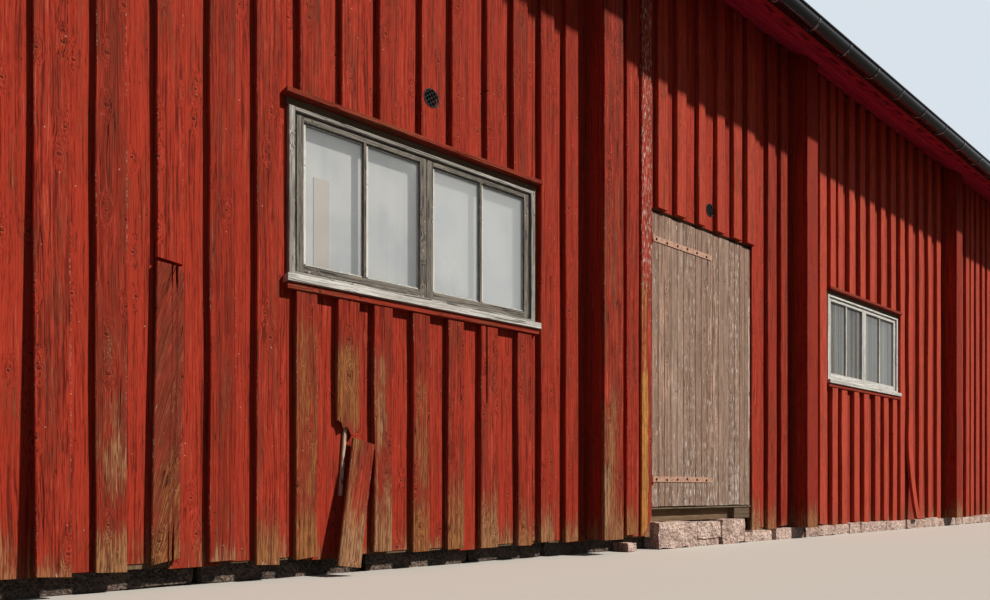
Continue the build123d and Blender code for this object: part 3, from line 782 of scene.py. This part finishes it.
windowBay2 = {
    "before": [0.93, 1.212],
    "above": [1.407, 1.565, 1.789, 2.023, 2.244, 2.498, 2.74],
    "below": [1.446, 1.645, 1.894, 2.11, 2.358, 2.57, 2.789],
    "after": [2.965, 3.2, 3.471, 3.726, 3.992],
    "notes": {
        1.212: {"width": 0.128, "wobble": 0.008},
        1.645: {"wobble": 0.012},
        3.2: {"wobble": 0.02, "push": lambda z: 0.1 * max(0.0, 1 - z) ** 2},  # bowed off the wall
        3.726: {"wobble": 0.012},
    },
}
doorway = {"left": -1.173, "right": 0.149, "top": 2.369}
pilasterPlan = {
    "width": 0.18,
    "depth": 0.17,
    "board": 0.022,
    "longLefts": [-7.862, -5.307, -1.829, 0.726, 4.204, 7.682],
    "gableLefts": [-1.423, 1.243],
}


def inner(index):  # from one pilaster's right side to the next one's left side
    lefts = pilasterPlan["longLefts"]
    return lefts[index] + pilasterPlan["width"], lefts[index + 1]


finishPiece(fillBay("front", *inner(0), seed=11), "frontBoardsLeftBay")
windowBoards = fillBay("front", *inner(1), seed=12, window=longWindows[0], plans=windowBay1)

parts = startPiece()
rng = random.Random(13)
start, end = inner(2)
for low, high, bottom, lefts, brighter in (
    (start, doorway["left"], cladding["base"], "leftOfDoor", 0.0),
    (doorway["left"], doorway["right"], doorway["top"], "over", 0.7),
    (doorway["right"], end, cladding["base"], "rightOfDoor", 0.0),
):
    fillPanel(parts, "front", low, high, bottom, longTop, doorBay[lefts], rng, doorBay["notes"], brighter)
finishPiece(parts, "frontBoardsDoorBay")

parts = startPiece()  # the board beside the door, its paint gone on the left and flaking above
ochrePatches = ((-0.2, 1.2, -0.2, 0.62, 0.9, 1.0), (1.1, 1.9, -0.2, 0.5, 0.45, 0.9))
addPlank(parts, onWall("front", -1.284, 0.0055), facing("front"), plankSection(0.108, 0.018, 0.003, 5),
         (0.10, 0.20), longTop(0, 0.041), footLook(0.8, 1.0, 0.3, 1.0, ochrePatches), seed=9, stations=36,
         wobble=0.003, bow=0.003, tint=-0.4,
         flaking=lambda z, share: 0.26 + 0.17 * clamped((z - 1.3) / 0.6))
finishPiece(parts, "ochreBoard", "ochreWood")
finishPiece(fillBay("front", *inner(3), seed=14, window=longWindows[1], plans=windowBay2, brighter=1.0),
            "frontBoardsWindowBay2")
rightLefts = [4.50, 4.72, 4.93, 5.103, 5.282, 5.504, 5.693] + spread(random.Random(16), 5.91, inner(4)[1])
finishPiece(fillBay("front", *inner(4), seed=15, plans={"full": rightLefts}, brighter=0.8),
            "frontBoardsRightBay")

# the split and twisted board of the first window bay
twistPatches = ((0.05, 0.60, -0.1, 1.2, 0.30, 0.9), (0.60, 1.15, -0.1, 1.2, 0.12, 0.2))
twistCracks = ((0.078, 0.005, 0.024), (0.060, 0.003, 0.012))
addPlank(windowBoards, Vector((-4.424, -4.014, 0)), tilted((1, -0.10, 0), (0.016, 0, 1), (-0.10, -1, 0)),
         plankSection(0.106, 0.026, 0.004, 8, twistCracks), (0.105, 0.13), (1.342, 1.330),
         footLook(1.6, 0.8, 0.38, 0.8, twistPatches), seed=3, stations=30, wobble=0.006, bow=0.006,
         lean=0.24, tint=-0.9,
         flaking=lambda z, share: 0.34 * max(0.0, 1 - abs(z - 0.8) / 0.4),
         opened=lambda z: max(crackShare(z, -0.1, 0.22), crackShare(z, 1.27, 1.5)))
finishPiece(windowBoards, "frontBoardsWindowBay1")


def looseLook(length, share):  # bare on the left and towards its foot
    low = clamped((0.45 - length) / 0.3)
    side = clamped((0.5 - share) / 0.3)
    return (0.95, max(0.95 * low, 0.5 * side), 0.1 + 0.6 * (1 - low))


# the broken board's lower piece, leaning out, and a splinter left standing
parts = startPiece()
addPlank(parts, Vector((-3.632, -4.092, 0)),
         tilted((1, -0.11, -0.187), (0.187, 0.095, 1), (-0.11, -1, 0.11)),
         plankSection(0.115, 0.024, 0.004, 6), (0.055, 0.06), (0.675, 0.665), looseLook, seed=5,
         stations=24, wobble=0.006, bow=0.006, tint=-0.2)
addPlank(parts, Vector((-3.598, -4.010, 0)), tilted((1, 0.1, -0.07), (0.075, 0, 1), (0.1, -1, 0)),
         plankSection(0.016, 0.014, 0.003, 1), 0.385, (0.70, 0.74), (0.9, 0.95, 0.0), seed=8, stations=10,
         wobble=0.003, flaking=0.62)
finishPiece(parts, "looseBoard")
print("front boards laid")

backPlans = {  # boards that carry the back vents as on the front
    1: windowBay1,
    2: {"full": [-1.649, -1.45, -1.235, -1.03, -0.825, -0.620, -0.397, -0.18, 0.04, 0.25, 0.46, 0.616]},
}
backWindows = {1: longWindows[0], 3: longWindows[1]}
for index in range(5):
    parts = fillBay("back", *inner(index), seed=30 + index, window=backWindows.get(index),
                    plans=backPlans.get(index), brighter=0.3)
    finishPiece(parts, f"backBoardsBay{index + 1}")
gableEdges = [-wallHalf, wallHalf]
for left in pilasterPlan["gableLefts"]:
    gableEdges += [left, left + pilasterPlan["width"]]
gableEdges.sort()
for wall, firstSeed in (("left", 40), ("right", 50)):
    parts = startPiece()
    for index in range(3):
        fillBay(wall, gableEdges[2 * index], gableEdges[2 * index + 1], seed=firstSeed + index,
                window=gableWindows[0] if index == 1 else None, parts=parts)
    finishPiece(parts, f"{wall}GableBoards")
print("other boards laid")


# pilasters: three boards nailed up as a box

def addPilaster(parts, wall, left, top, seed, look=None, tint=0.2):
    run, out = walls[wall]["run"], walls[wall]["out"]
    rng = random.Random(seed)
    depth, width, board = pilasterPlan["depth"], pilasterPlan["width"], pilasterPlan["board"]
    foot = rng.uniform(0.088, 0.1)
    look = look or footLook(rng.uniform(0.3, 0.7), rng.uniform(0.2, 0.6), 0.36, 0.9)
    for edge, turn in ((left + board, -1), (left + width - board, 1)):
        addPlank(parts, onWall(wall, edge), (out, up, run * turn), plankSection(depth - board, board), foot,
                 (top(left, 0), top(left, depth - board)), footLook(0.25, 0.3, 0.3, 0.7), seed=rng.random(),
                 bow=0.001, tint=0.5)
    addPlank(parts, onWall(wall, left, depth - board), facing(wall), plankSection(width, board, 0.003, 5),
             foot, lambda share: top(left + share * width, depth), look, seed=rng.random(), stations=40,
             wobble=0.003, bow=0.001, tint=tint)


rubbedPatches = ((-0.2, 2.2, -0.2, 0.75, 0.2, 0.9), (-0.2, 1.0, -0.2, 0.7, 0.46, 0.6),
                 (0.1, 0.6, -0.2, 0.25, 0.8, 0.0))
rubbedLook = footLook(1.0, 0.45, 0.4, 0.9, rubbedPatches)
for wall, firstSeed in (("front", 60), ("back", 70)):
    parts = startPiece()
    for index, left in enumerate(pilasterPlan["longLefts"]):
        addPilaster(parts, wall, left, longTop, firstSeed + index,
                    rubbedLook if wall == "front" and index == 2 else None, 1.4 if index > 2 else 0.2)
    finishPiece(parts, f"{wall}PilasterBoards", "wall", "red_pilasters", (f"{wall}_pilasters",))
parts = startPiece()
for wall in ("left", "right"):
    for left in pilasterPlan["gableLefts"]:
        addPilaster(parts, wall, left, gableTop, 80 + left)
finishPiece(parts, "gablePilasterBoards", "wall", "red_pilasters", ("gable_pilasters",))
print("pilasters boxed")


# windows

sash = {
    "frameFaces": (0.030, 0.022, 0.018),  # at the sides, bottom and top
    "rebate": 0.012,
    "frameOut": 0.030,
    "frameDepth": 0.100,
    "casementFaces": (0.036, 0.036, 0.026),
    "meetingFace": 0.042,
    "casementOut": 0.018,
    "casementDepth": 0.036,
    "middleGap": 0.002,
    "bar": 0.017,
    "glassThick": 0.004,
    "sheetBehind": 0.042,
}
windowPieces = {  # material, slot and the CAD nodes each piece stands in for
    "windowFrameBoards": ("window", "window_paint", ("window_frames",)),
    "windowStops": ("stopTimberShadeDark", "window_paint"),
    "windowCasementBars": ("window", "window_paint", ("window_casements",)),
    "windowPanes": ("glass", "window_glass", ("window_glass",)),
    "windowSheets": ("sheet", "window_glass"),
    "windowLath": ("cream", "window_paint"),
    "windowHeadBoards": ("oldTimber", "window_paint"),
    "windowDripStrips": ("trim", "red_trim", ("window_drip_boards",)),
    "windowSillBoards": ("window", "window_paint", ("window_sills",)),
    "windowApronStrips": ("trim", "red_trim"),
}
# each one's place above the opening or below it, its overhang, bottom, top, face, depth, look and flaking
longTrims = {
    "windowHeadBoards": (True, 0.01, 0.0, 0.036, 0.024, 0.09, (1.0, 0.3, 0.6), 14, 0.32),
    "windowDripStrips": (True, 0.025, 0.038, 0.062, 0.066, 0.066, (0.9, 0.2, 0.8), 20, 0.0),
    "windowSillBoards": (False, 0.020, -0.034, 0.0, 0.062, 0.1, (0.85, 0.12, 0.4), 20, 0.0),
    "windowApronStrips": (False, 0.015, -0.066, -0.034, 0.048, 0.048, (0.6, 0.12, 0.6), 20, 0.0),
}


# a window member between two (along, height) corners, its face at a distance out from the wall
def addBar(parts, wall, low, high, out, depth, look, seed, chamfer=0.002, horizontal=None, flaking=0.0,
           stations=10, tint=None):
    run, rise, front = facing(wall)
    wide, tall = high[0] - low[0], high[1] - low[1]
    horizontal = wide > tall if horizontal is None else horizontal
    section = plankSection(tall if horizontal else wide, depth, chamfer, 2)
    axes = (rise, run, front) if horizontal else (run, rise, front)
    addPlank(parts, onWall(wall, low[0], out - depth, low[1]), axes, section, 0.0,
             wide if horizontal else tall, look, seed=seed, stations=stations, wobble=0.0008,
             flaking=flaking, tint=tint)


def addFrame(parts, wall, low, high, faces, out, depth, look, seed, flaking=0.0):  # two stiles and two rails
    first, last, bottom, top = faces
    for n, (a, b) in enumerate((
        ((low[0], low[1]), (low[0] + first, high[1])),
        ((high[0] - last, low[1]), (high[0], high[1])),
        ((low[0] + first, low[1]), (high[0] - last, low[1] + bottom)),
        ((low[0] + first, high[1] - top), (high[0] - last, high[1])),
    )):
        addBar(parts, wall, a, b, out, depth, look, seed + n, horizontal=n > 1, flaking=flaking)


pieces = {name: startPiece() for name in windowPieces}
for wall, spots in windowSpots.items():
    for number, (left, base) in enumerate(spots):
        grey = number == 0  # the first window of a wall is the more weathered one
        high = (left + windowPlan["width"], base + windowPlan["height"])
        bare = 0.55 if grey else 0.3
        seed = len(pieces["windowFrameBoards"]["points"])
        jamb, foot, head = sash["frameFaces"]
        stile, rail, topRail = sash["casementFaces"]
        gap = sash["rebate"]
        faces = (jamb, jamb, foot, head)
        addFrame(pieces["windowFrameBoards"], wall, (left, base), high, faces, sash["frameOut"],
                 sash["frameDepth"], (0.85, bare, 0.35) if grey else (0.5, 0.0, 0.2), seed)
        stops = [face + 0.022 for face in faces]  # the rebate that the casements shut against, near-black partly as painted shade for the gap
        addFrame(pieces["windowStops"], wall, (left, base), high, stops, -0.019, 0.014, (1.0, 1.0, 1.0),
                 seed + 10)
        half = (windowPlan["width"] - 2 * (jamb + gap) - sash["middleGap"]) / 2
        casements = pieces["windowCasementBars"]
        for leaf in range(2):
            low = (left + jamb + gap + leaf * (half + sash["middleGap"]), base + foot + gap * 0.35)
            top = (low[0] + half, high[1] - head - gap * 0.65)
            sides = (sash["meetingFace"], stile) if leaf else (stile, sash["meetingFace"])
            addFrame(casements, wall, low, top, (*sides, rail, topRail), sash["casementOut"],
                     sash["casementDepth"], (1.0, bare + 0.4, 0.75) if grey else (0.6, 0.08, 0.6),
                     seed + 20 + leaf * 5, flaking=0.16 if grey else 0.3)
            glassLow = (low[0] + sides[0], low[1] + rail)
            glassHigh = (top[0] - sides[1], top[1] - topRail)
            barLow = (glassLow[0] + glassHigh[0]) / 2 - sash["bar"] / 2
            barHigh = (glassLow[0] + glassHigh[0]) / 2 + sash["bar"] / 2
            addBar(casements, wall, (barLow, glassLow[1]), (barHigh, glassHigh[1]),
                   sash["casementOut"] - (0.001 if grey else 0.006), 0.028 if grey else 0.023,
                   (1.0, 1.0, 1.0) if grey else (0.6, 0.15, 0.3), seed + 40 + leaf)
            for a, b in ((glassLow[0], barLow), (barHigh, glassHigh[0])):
                addBar(pieces["windowPanes"], wall, (a + 0.0005, glassLow[1] + 0.0005),
                       (b - 0.0005, glassHigh[1] - 0.0005), 0.002, sash["glassThick"], (0, 0, 0), seed,
                       chamfer=0.0004, horizontal=False, stations=1, tint=0.0 if grey else (1.0, 0.7)[leaf])
                for n, (p, q) in enumerate((  # thin lines of putty round each pane
                    ((a, glassLow[1]), (a + 0.015, glassHigh[1])),
                    ((b - 0.004, glassLow[1]), (b, glassHigh[1])),
                    ((a, glassLow[1]), (b, glassLow[1] + 0.010)),
                    ((a, glassHigh[1] - 0.007), (b, glassHigh[1])),
                )):
                    addBar(casements, wall, p, q, 0.008, 0.0055, (0.2, 0.0, 0.2), seed + 60 + n,
                           chamfer=0.003, horizontal=n > 1, stations=4)
        middle = left + windowPlan["width"] / 2
        tints = (0.08, 0.0) if grey else (1.0, 0.86)
        for a, b, tint in ((left + jamb, middle, tints[0]), (middle, high[0] - jamb, tints[1])):
            addBar(pieces["windowSheets"], wall, (a, base + foot), (b, high[1] - head),
                   -sash["sheetBehind"], 0.003, (0, 0, 0), seed, chamfer=0.0005, horizontal=True,
                   stations=4, tint=tint)
        for n, (name, trim) in enumerate(longTrims.items()):
            above, over, bottom, rise, out, depth, look, stations, flaking = trim
            level = high[1] if above else base
            addBar(pieces[name], wall, (left - over, level + bottom), (high[0] + over, level + rise), out,
                   depth, look, seed + 80 + n, stations=stations, flaking=flaking)
addBar(pieces["windowLath"], "front", (-3.676, 1.402), (-3.592, 1.905), -sash["sheetBehind"] + 0.004, 0.004,
       (0.1, 0.0, 0.0), 7, horizontal=False)
for name, settings in windowPieces.items():
    finishPiece(pieces[name], name, *settings)
print("windows made")


# door

doorPlan = {
    "left": -1.151,
    "firstBoard": 0.072,
    "board": 0.148,
    "count": 8,
    "foot": 0.293,
    "head": 2.343,
    "back": -0.023,  # of the boards, out from the wall
    "thick": 0.028,
    "beads": (0.002, 0.005, 0.003),  # depths of the grooves along the boards' middles
    "ledges": (0.486, 1.323, 2.160),
    "ledgeLeft": -1.091,
    "ledgeLength": 1.136,
    "ledgeHeight": 0.150,
}

parts = startPiece()
rng = random.Random(21)
x = doorPlan["left"]
for n in range(doorPlan["count"] + 1):
    width = doorPlan["firstBoard"] if n == 0 else doorPlan["board"]
    beads = () if n == 0 else ((width / 2, 0.0035, doorPlan["beads"][n % 3]),)
    section = plankSection(width - 0.0025, doorPlan["thick"], 0.0035, 7, beads)
    foot = doorPlan["foot"] + rng.uniform(0, 0.004)
    age = rng.uniform(0.6, 1.0)
    worn = rng.uniform(0.2, 0.55)
    scraps = rng.uniform(0.30, 0.45)
    isLast = n == doorPlan["count"]

    def doorLook(length, share):
        return (age, worn + 0.2 * clamped((0.75 - length) / 0.4), 0.4)

    def doorFlakes(length, share):
        low = clamped((0.9 - length) / 0.55)
        return scraps + 0.06 * low + (0.3 if isLast and share > 0.92 and 0.8 < length < 2.0 else 0.0)

    addPlank(parts, onWall("front", x, doorPlan["back"]), facing("front"), section, foot,
             doorPlan["head"], doorLook, seed=rng.random(), stations=30, bow=0.0008,
             flaking=doorFlakes, tint=rng.uniform(-0.9, 1.3), edges=False)
    x += width
finishPiece(parts, "doorPlanks", "door", "door_boards", ("door_boards",), "plank_door")

parts = startPiece()
for z in doorPlan["ledges"]:
    height = doorPlan["ledgeHeight"]
    addPlank(parts, onWall("front", doorPlan["ledgeLeft"], doorPlan["back"], z - height / 2),
             (up, right, back), plankSection(height, doorPlan["thick"], 0.004), 0.0,
             doorPlan["ledgeLength"], (0.6, 0.2, 0.3), seed=z, stations=14)
finishPiece(parts, "doorLedgePlanks", "door", "door_boards", ("door_ledges",), "plank_door")

strapPlan = {
    "heights": (0.486, 2.160),
    "nails": (-1.105, -0.985, -0.862, -0.745, -0.625, -0.505),
    "face": 0.011,
    "nailRadius": 0.0105,
    "nailHeight": 0.005,
}


def addDome(parts, centre, out, radius, height, sides=8):  # a nail head: rings and a crown
    start = len(parts["points"])
    side = out.orthogonal().normalized()
    addLoft(parts, [circle(centre + out * height * lift, side, out.cross(side), radius * size, sides)
                    for size, lift in ((1.0, 0.0), (0.95, 0.5), (0.55, 0.9))], caps=False)
    crown = len(parts["points"])
    parts["points"].append(centre + out * height)
    parts["faces"] += [(crown - sides + n, crown - sides + (n + 1) % sides, crown) for n in range(sides)]
    parts["faces"].append(tuple(start + n for n in reversed(range(sides))))
    fillTraits(parts)


parts = startPiece()
for z in strapPlan["heights"]:
    for x in strapPlan["nails"]:
        centre = onWall("front", x, strapPlan["face"] - 0.0005, z + 0.004 * math.sin(40 * x))
        addDome(parts, centre, -back, strapPlan["nailRadius"], strapPlan["nailHeight"])
finishPiece(parts, "strapNails", "nail", "hinge_iron", (), "plank_door", smooth=True)
print("door hung")


# vents

ventPlan = {
    "spots": ((-3.042, 2.467, 0.0375), (-0.453, 2.520, 0.0055)),  # along, up, and out to what carries it
    "radius": 0.050,
    "thick": 0.003,
    "wire": 0.0024,
    "pitch": 0.019,
    "turns": (38, -52),  # degrees; two layers of flat bars, woven like expanded sheet
    "steps": 10,
}

plates, meshes = startPiece(), startPiece()
radius, thick = ventPlan["radius"], ventPlan["thick"]
plateSteps = ((radius - 0.004, 0.0), (radius - 0.004, 0.0015))
rimSteps = ((radius - 0.006, 0.0), (radius, 0.0), (radius, thick), (radius - 0.003, thick + 0.001),
            (radius - 0.006, thick), (radius - 0.006, 0.0))
for wall in ("front", "back"):
    out = walls[wall]["out"]
    across = up.cross(out)
    for along, height, carried in ventPlan["spots"]:
        centre = onWall(wall, along, carried, height)
        for target, steps, caps in ((plates, plateSteps, True), (meshes, rimSteps, False)):
            addLoft(target, [circle(centre + out * lift, across, up, size, 30) for size, lift in steps], caps)
        count = int(radius / ventPlan["pitch"])
        for turn in ventPlan["turns"]:
            lean = across * math.cos(math.radians(turn)) + up * math.sin(math.radians(turn))
            cross = out.cross(lean)
            for n in range(-count, count + 1):
                offset = n * ventPlan["pitch"]
                half = math.sqrt(max(0.0, (radius - 0.005) ** 2 - offset ** 2))
                rings = []
                for k in range(ventPlan["steps"] + 1):
                    spot = centre + cross * offset + lean * (half * (2 * k / ventPlan["steps"] - 1))
                    lift = 0.0028 + 0.0007 * math.cos(math.pi * (k + n))
                    rings.append([spot + cross * (u * ventPlan["wire"] / 2) + out * (lift + v * 0.0008)
                                  for u, v in ((-1, -1), (1, -1), (1, 1), (-1, 1))])
                addLoft(meshes, rings)
fillTraits(plates)
fillTraits(meshes)
# the plates carry the near-black ventShadow finish, painted shade for the hole behind each grille
finishPiece(plates, "ventPlates", "ventDark", "vent_iron", ("vent_grilles",))
finishPiece(meshes, "ventMesh", "vent", "vent_iron")
print("vents set")


# footing stones: split faces, rough and uneven

stonePlan = {"length": (0.35, 0.85), "shortest": 0.25, "joint": 0.004, "jut": 0.014, "top": 0.187}
stepStones = (  # left, right, bottom and top of each stone at the door
    (-1.150, -0.700, 0.000, 0.188),
    (-0.690, -0.385, 0.052, 0.176),
    (-0.680, -0.400, 0.000, 0.056),
    (-0.375, -0.070, 0.000, 0.187),
    (-0.055, 0.060, 0.000, 0.080),
    (0.075, 0.370, 0.000, 0.088),
    (-1.480, -1.395, 0.000, 0.060),
)
footingPlan = {"from": 0.40, "to": 7.3, "length": (0.2, 0.6), "gap": 0.02, "front": -4.072, "back": -3.935,
               "top": (0.084, 0.105)}


def addStone(parts, low, high, seed, rounding=0.16, rough=0.010, steps=7, tint=0.5):
    start = len(parts["points"])
    centre = (Vector(low) + Vector(high)) / 2
    half = (Vector(high) - Vector(low)) / 2
    spots = {}
    for axis in range(3):
        for sign in (-1, 1):
            for i in range(steps):
                for j in range(steps):
                    corners = []
                    for di, dj in ((0, 0), (1, 0), (1, 1), (0, 1)):
                        spot = [0.0, 0.0, 0.0]
                        spot[axis] = float(sign)
                        spot[(axis + 1) % 3] = round(2 * (i + di) / steps - 1, 4)
                        spot[(axis + 2) % 3] = round(2 * (j + dj) / steps - 1, 4)
                        corners.append(start + spots.setdefault(tuple(spot), len(spots)))
                    parts["faces"].append(tuple(corners if sign > 0 else reversed(corners)))
    for spot in spots:
        cube = Vector(spot)
        shape = cube.lerp(cube.normalized() * 1.2, rounding)
        point = centre + Vector([s * h for s, h in zip(shape, half)])
        push = noise.noise_vector(point * 7 + Vector((seed, 0, 0))) * rough
        push += noise.noise_vector(point * 24 + Vector((seed, 3, 0))) * rough * 0.45
        point += push * min(1.0, min(half) / 0.05)
        parts["points"].append(Vector([min(max(p, a), b) for p, a, b in zip(point, low, high)]))
    fillTraits(parts, tint)


def addCourse(parts, rng, reach, face, inside, turned=False):  # a row of plinth stones on both sides
    for sign in (-1, 1):
        spot = -reach
        while spot < reach - 0.03:
            length = min(rng.uniform(*stonePlan["length"]), reach - spot)
            if reach - spot - length < stonePlan["shortest"]:
                length = reach - spot
            near, far = sorted((sign * (face - rng.uniform(0.0, stonePlan["jut"])), sign * inside))
            first, last = spot + stonePlan["joint"], spot + length - stonePlan["joint"]
            low, high = ((near, first, 0.0), (far, last, stonePlan["top"])) if turned else (
                (first, near, 0.0), (last, far, stonePlan["top"]))
            addStone(parts, low, high, rng.uniform(0, 90), tint=rng.random())
            spot += length


rng = random.Random(17)
parts = startPiece()
addCourse(parts, rng, 7.86, 3.945, 3.70)
finishPiece(parts, "longPlinthStones", "plinthStone", "granite", ("plinth_front", "plinth_back"))
parts = startPiece()
addCourse(parts, rng, 3.69, 7.81, 7.56, turned=True)
finishPiece(parts, "gablePlinthStones", "plinthStone", "granite", ("plinth_gables",))

parts = startPiece()
for number, (low, high, bottom, top) in enumerate(stepStones):
    addStone(parts, (low, -4.07 + 0.01 * (number % 3), bottom), (high, footingPlan["back"], top),
             7.3 * number, rounding=0.12, rough=0.016, steps=9, tint=0.9 if number == 1 else 0.6)
finishPiece(parts, "stepStones", "stone", "granite", ("door_step_stones",))
parts = startPiece()
rng = random.Random(19)
x = footingPlan["from"]
while x < footingPlan["to"]:  # the footing's lowest course stands out in front of the boards
    length = rng.uniform(*footingPlan["length"])
    addStone(parts, (x, footingPlan["front"] + rng.uniform(0, 0.012), 0.0),
             (x + length, footingPlan["back"], rng.uniform(*footingPlan["top"])), rng.uniform(0, 90),
             rounding=0.14, rough=0.014, tint=rng.random())
    x += length + rng.uniform(0.0, footingPlan["gap"])
finishPiece(parts, "footingStones", "stone", "granite", ("footing_stones",))
print("stones laid")

thresholdPlan = {"left": -1.16, "right": 0.112, "bottom": 0.276, "top": 0.286, "out": 0.010}
parts = startPiece()
addBar(parts, "front", (thresholdPlan["left"], thresholdPlan["bottom"]),
       (thresholdPlan["right"], thresholdPlan["top"]), thresholdPlan["out"], 0.05, (0.3, 0.0, 0.3), 4,
       stations=20)
addBar(parts, "front", (-0.113, 0.190), (0.132, thresholdPlan["bottom"]), 0.002, 0.06, (0.8, 0.5, 0.6), 6)
finishPiece(parts, "thresholdBoards", "oldTimber", "bare_timber", ("door_threshold",))
print("threshold laid")


# ridge: half-round tiles, each lapping the next

ridgePlan = {"radius": 0.12, "thick": 0.014, "cover": 0.363, "lap": 0.045, "top": 7.149, "sides": 14}
parts = startPiece()
rng = random.Random(18)
count = round(2 * roofReach / ridgePlan["cover"])
pitch = 2 * roofReach / count
axle = ridgePlan["top"] - ridgePlan["radius"]
angles = [math.radians(-4 + 188 * k / ridgePlan["sides"]) for k in range(ridgePlan["sides"] + 1)]
for n in range(count):
    rings = []
    length = pitch if n == count - 1 else pitch + ridgePlan["lap"]
    for share, tuck in ((0.0, 0.0), (0.06, 0.0), (0.10, 0.006), (1.0, 0.011)):
        spot = Vector((n * pitch - roofReach + share * length, 0, axle))
        outer, under = ([spot + (up * math.sin(a) - back * math.cos(a)) * (ridgePlan["radius"] - tuck - depth)
                         for a in angles] for depth in (0.0, ridgePlan["thick"]))
        rings.append(outer + under[::-1])
    addLoft(parts, rings)
    fillTraits(parts, rng.random())
finishPiece(parts, "ridgeCaps", "tile", "clay_tile", ("ridge_tiles",))
print("ridge capped")


# gutters, roof edges and timber keep their CAD shapes

finishes = {
    "gutter": ("gutter_front", "gutter_back"),
    "bracket": ("gutter_brackets",),
    "fascia": ("fascia_boards",),
    "trimAlongY": ("verge_boards_front", "verge_boards_back"),
    "strap": ("strap_hinges",),
    "pintle": ("hinge_pintles",),
    "timberX": ("sill_beams_long", "floor_planks", "wall_plates", "ridge_board", "door_head",
                "front_wall_over_door", "roof_deck_front", "roof_deck_back"),
    "timberY": ("sill_beams_gable", "tie_beams", "rafters"),
    "timberZ": ("door_jambs", "front_wall_left_bay", "front_wall_window_bay_1", "front_wall_left_of_door",
                "front_wall_right_of_door", "front_wall_window_bay_2", "front_wall_right_bay", "back_wall",
                "gable_left", "gable_right"),
}
for finish, names in finishes.items():
    for name in names:
        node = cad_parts[name]
        node.data.materials.clear()
        node.data.materials.append(materials[finish])


# soffit: boards nailed lengthwise under the rafter tails

soffitPlan = {
    "outer": 4.4705,
    "thick": 0.020,
    "rows": 4,
    "gap": 0.006,
    "length": 3.9,
    "rim": 0.034,  # outer board
    "slot": 0.074,  # blocks behind the outer board, with dark air slots between them
    "block": 0.10,
    "pitch": 0.255,
}

parts = startPiece()
rng = random.Random(70)
thick = soffitPlan["thick"]
for sign in (-1, 1):
    climb = Vector((0, -sign * math.cos(slope), math.sin(slope)))
    down = Vector((0, -sign * math.sin(slope), -math.cos(slope)))
    axes = (climb, right, down)
    full = (soffitPlan["outer"] - wallHalf) / math.cos(slope) - soffitPlan["rim"] - soffitPlan["slot"]
    width = full / soffitPlan["rows"]
    fall = (soffitPlan["outer"] - wallHalf) * math.tan(slope)
    edge = Vector((0, sign * soffitPlan["outer"], eaveTop - fall)) - down * thick
    addPlank(parts, edge, axes, plankSection(soffitPlan["rim"] - 0.001, thick, 0.002, 2), -roofReach,
             roofReach, (0.6, 0.1, 0.3), seed=rng.random(), stations=30, tint=0.8)
    edge += climb * soffitPlan["rim"]
    x = -roofReach
    while x < roofReach - 0.01:
        addPlank(parts, edge, axes, plankSection(soffitPlan["slot"] - 0.001, thick, 0.002, 1), x + 0.001,
                 min(x + soffitPlan["block"], roofReach), (0.6, 0.1, 0.3), seed=rng.random(), stations=1)
        x += soffitPlan["pitch"]
    edge += climb * soffitPlan["slot"]
    section = plankSection(width - soffitPlan["gap"], thick, 0.003, 2)
    for row in range(soffitPlan["rows"]):
        x = -roofReach
        length = soffitPlan["length"] * rng.uniform(0.4, 1)
        while x < roofReach - 0.01:
            end = min(x + length, roofReach)
            addPlank(parts, edge + climb * (row * width), axes, section, x + 0.001, end - 0.001,
                     (rng.uniform(0.4, 0.9), 0.03, 0.3), seed=rng.random(), stations=8,
                     tint=rng.uniform(-0.8, 1.3))
            x, length = end, soffitPlan["length"]
finishPiece(parts, "soffitBoards", "soffit", "soffit_paint", ("eave_soffits",))
print("soffit boarded")


# roof tiles: S-shaped pantiles in overlapping rows

tiling = {
    "columns": 76,
    "rows": 16,
    "eave": 4.515,
    "layer": 0.117,  # top of the deck, square to the slope
    "rise": 0.028,  # height of the roll
    "thick": 0.011,
    "tilt": 0.010,  # of the lower end, which lies on the row below
    "lap": 0.055,
    "steps": 7,
}


def addPantile(parts, corner, climb, out, width, length, rng):  # a hollow and a roll
    tint = rng.random()
    corner = corner + right * rng.uniform(-0.002, 0.002)
    rings = []
    for start in (corner + out * tiling["tilt"], corner + climb * length):
        under = []
        for n in range(tiling["steps"] + 1):
            share = n / tiling["steps"]
            wave = math.cos(2 * math.pi * (share * 1.12 + 0.36)) * 0.5 + 0.5
            under.append(start + right * (share * width * 1.1) + out * (wave * tiling["rise"]))
        rings.append(under + [point + out * tiling["thick"] for point in reversed(under)])
    if right.cross(climb).dot(out) > 0:
        rings = [list(reversed(ring)) for ring in rings]
    addLoft(parts, rings)
    fillTraits(parts, tint)


for side, sign in (("front", -1), ("back", 1)):
    parts = startPiece()
    rng = random.Random(90 + sign)
    climb = Vector((0, -sign * math.cos(slope), math.sin(slope)))
    out = Vector((0, sign * math.sin(slope), math.cos(slope)))
    row = (tiling["eave"] / math.cos(slope) - 0.02) / tiling["rows"]
    column = 2 * roofReach / tiling["columns"]
    deck = eaveTop - (tiling["eave"] - wallHalf) * math.tan(slope)
    foot = Vector((-roofReach, sign * tiling["eave"], deck + (tiling["layer"] + 0.003) / math.cos(slope)))
    for n in range(tiling["rows"]):
        for m in range(tiling["columns"]):
            addPantile(parts, foot + right * (m * column) + climb * (n * row), climb, out, column * 0.985,
                       row + tiling["lap"] if n < tiling["rows"] - 1 else row, rng)
    finishPiece(parts, f"{side}Pantiles", "tile", "clay_tile", (f"roof_tiles_{side}",))
print("roof tiled")
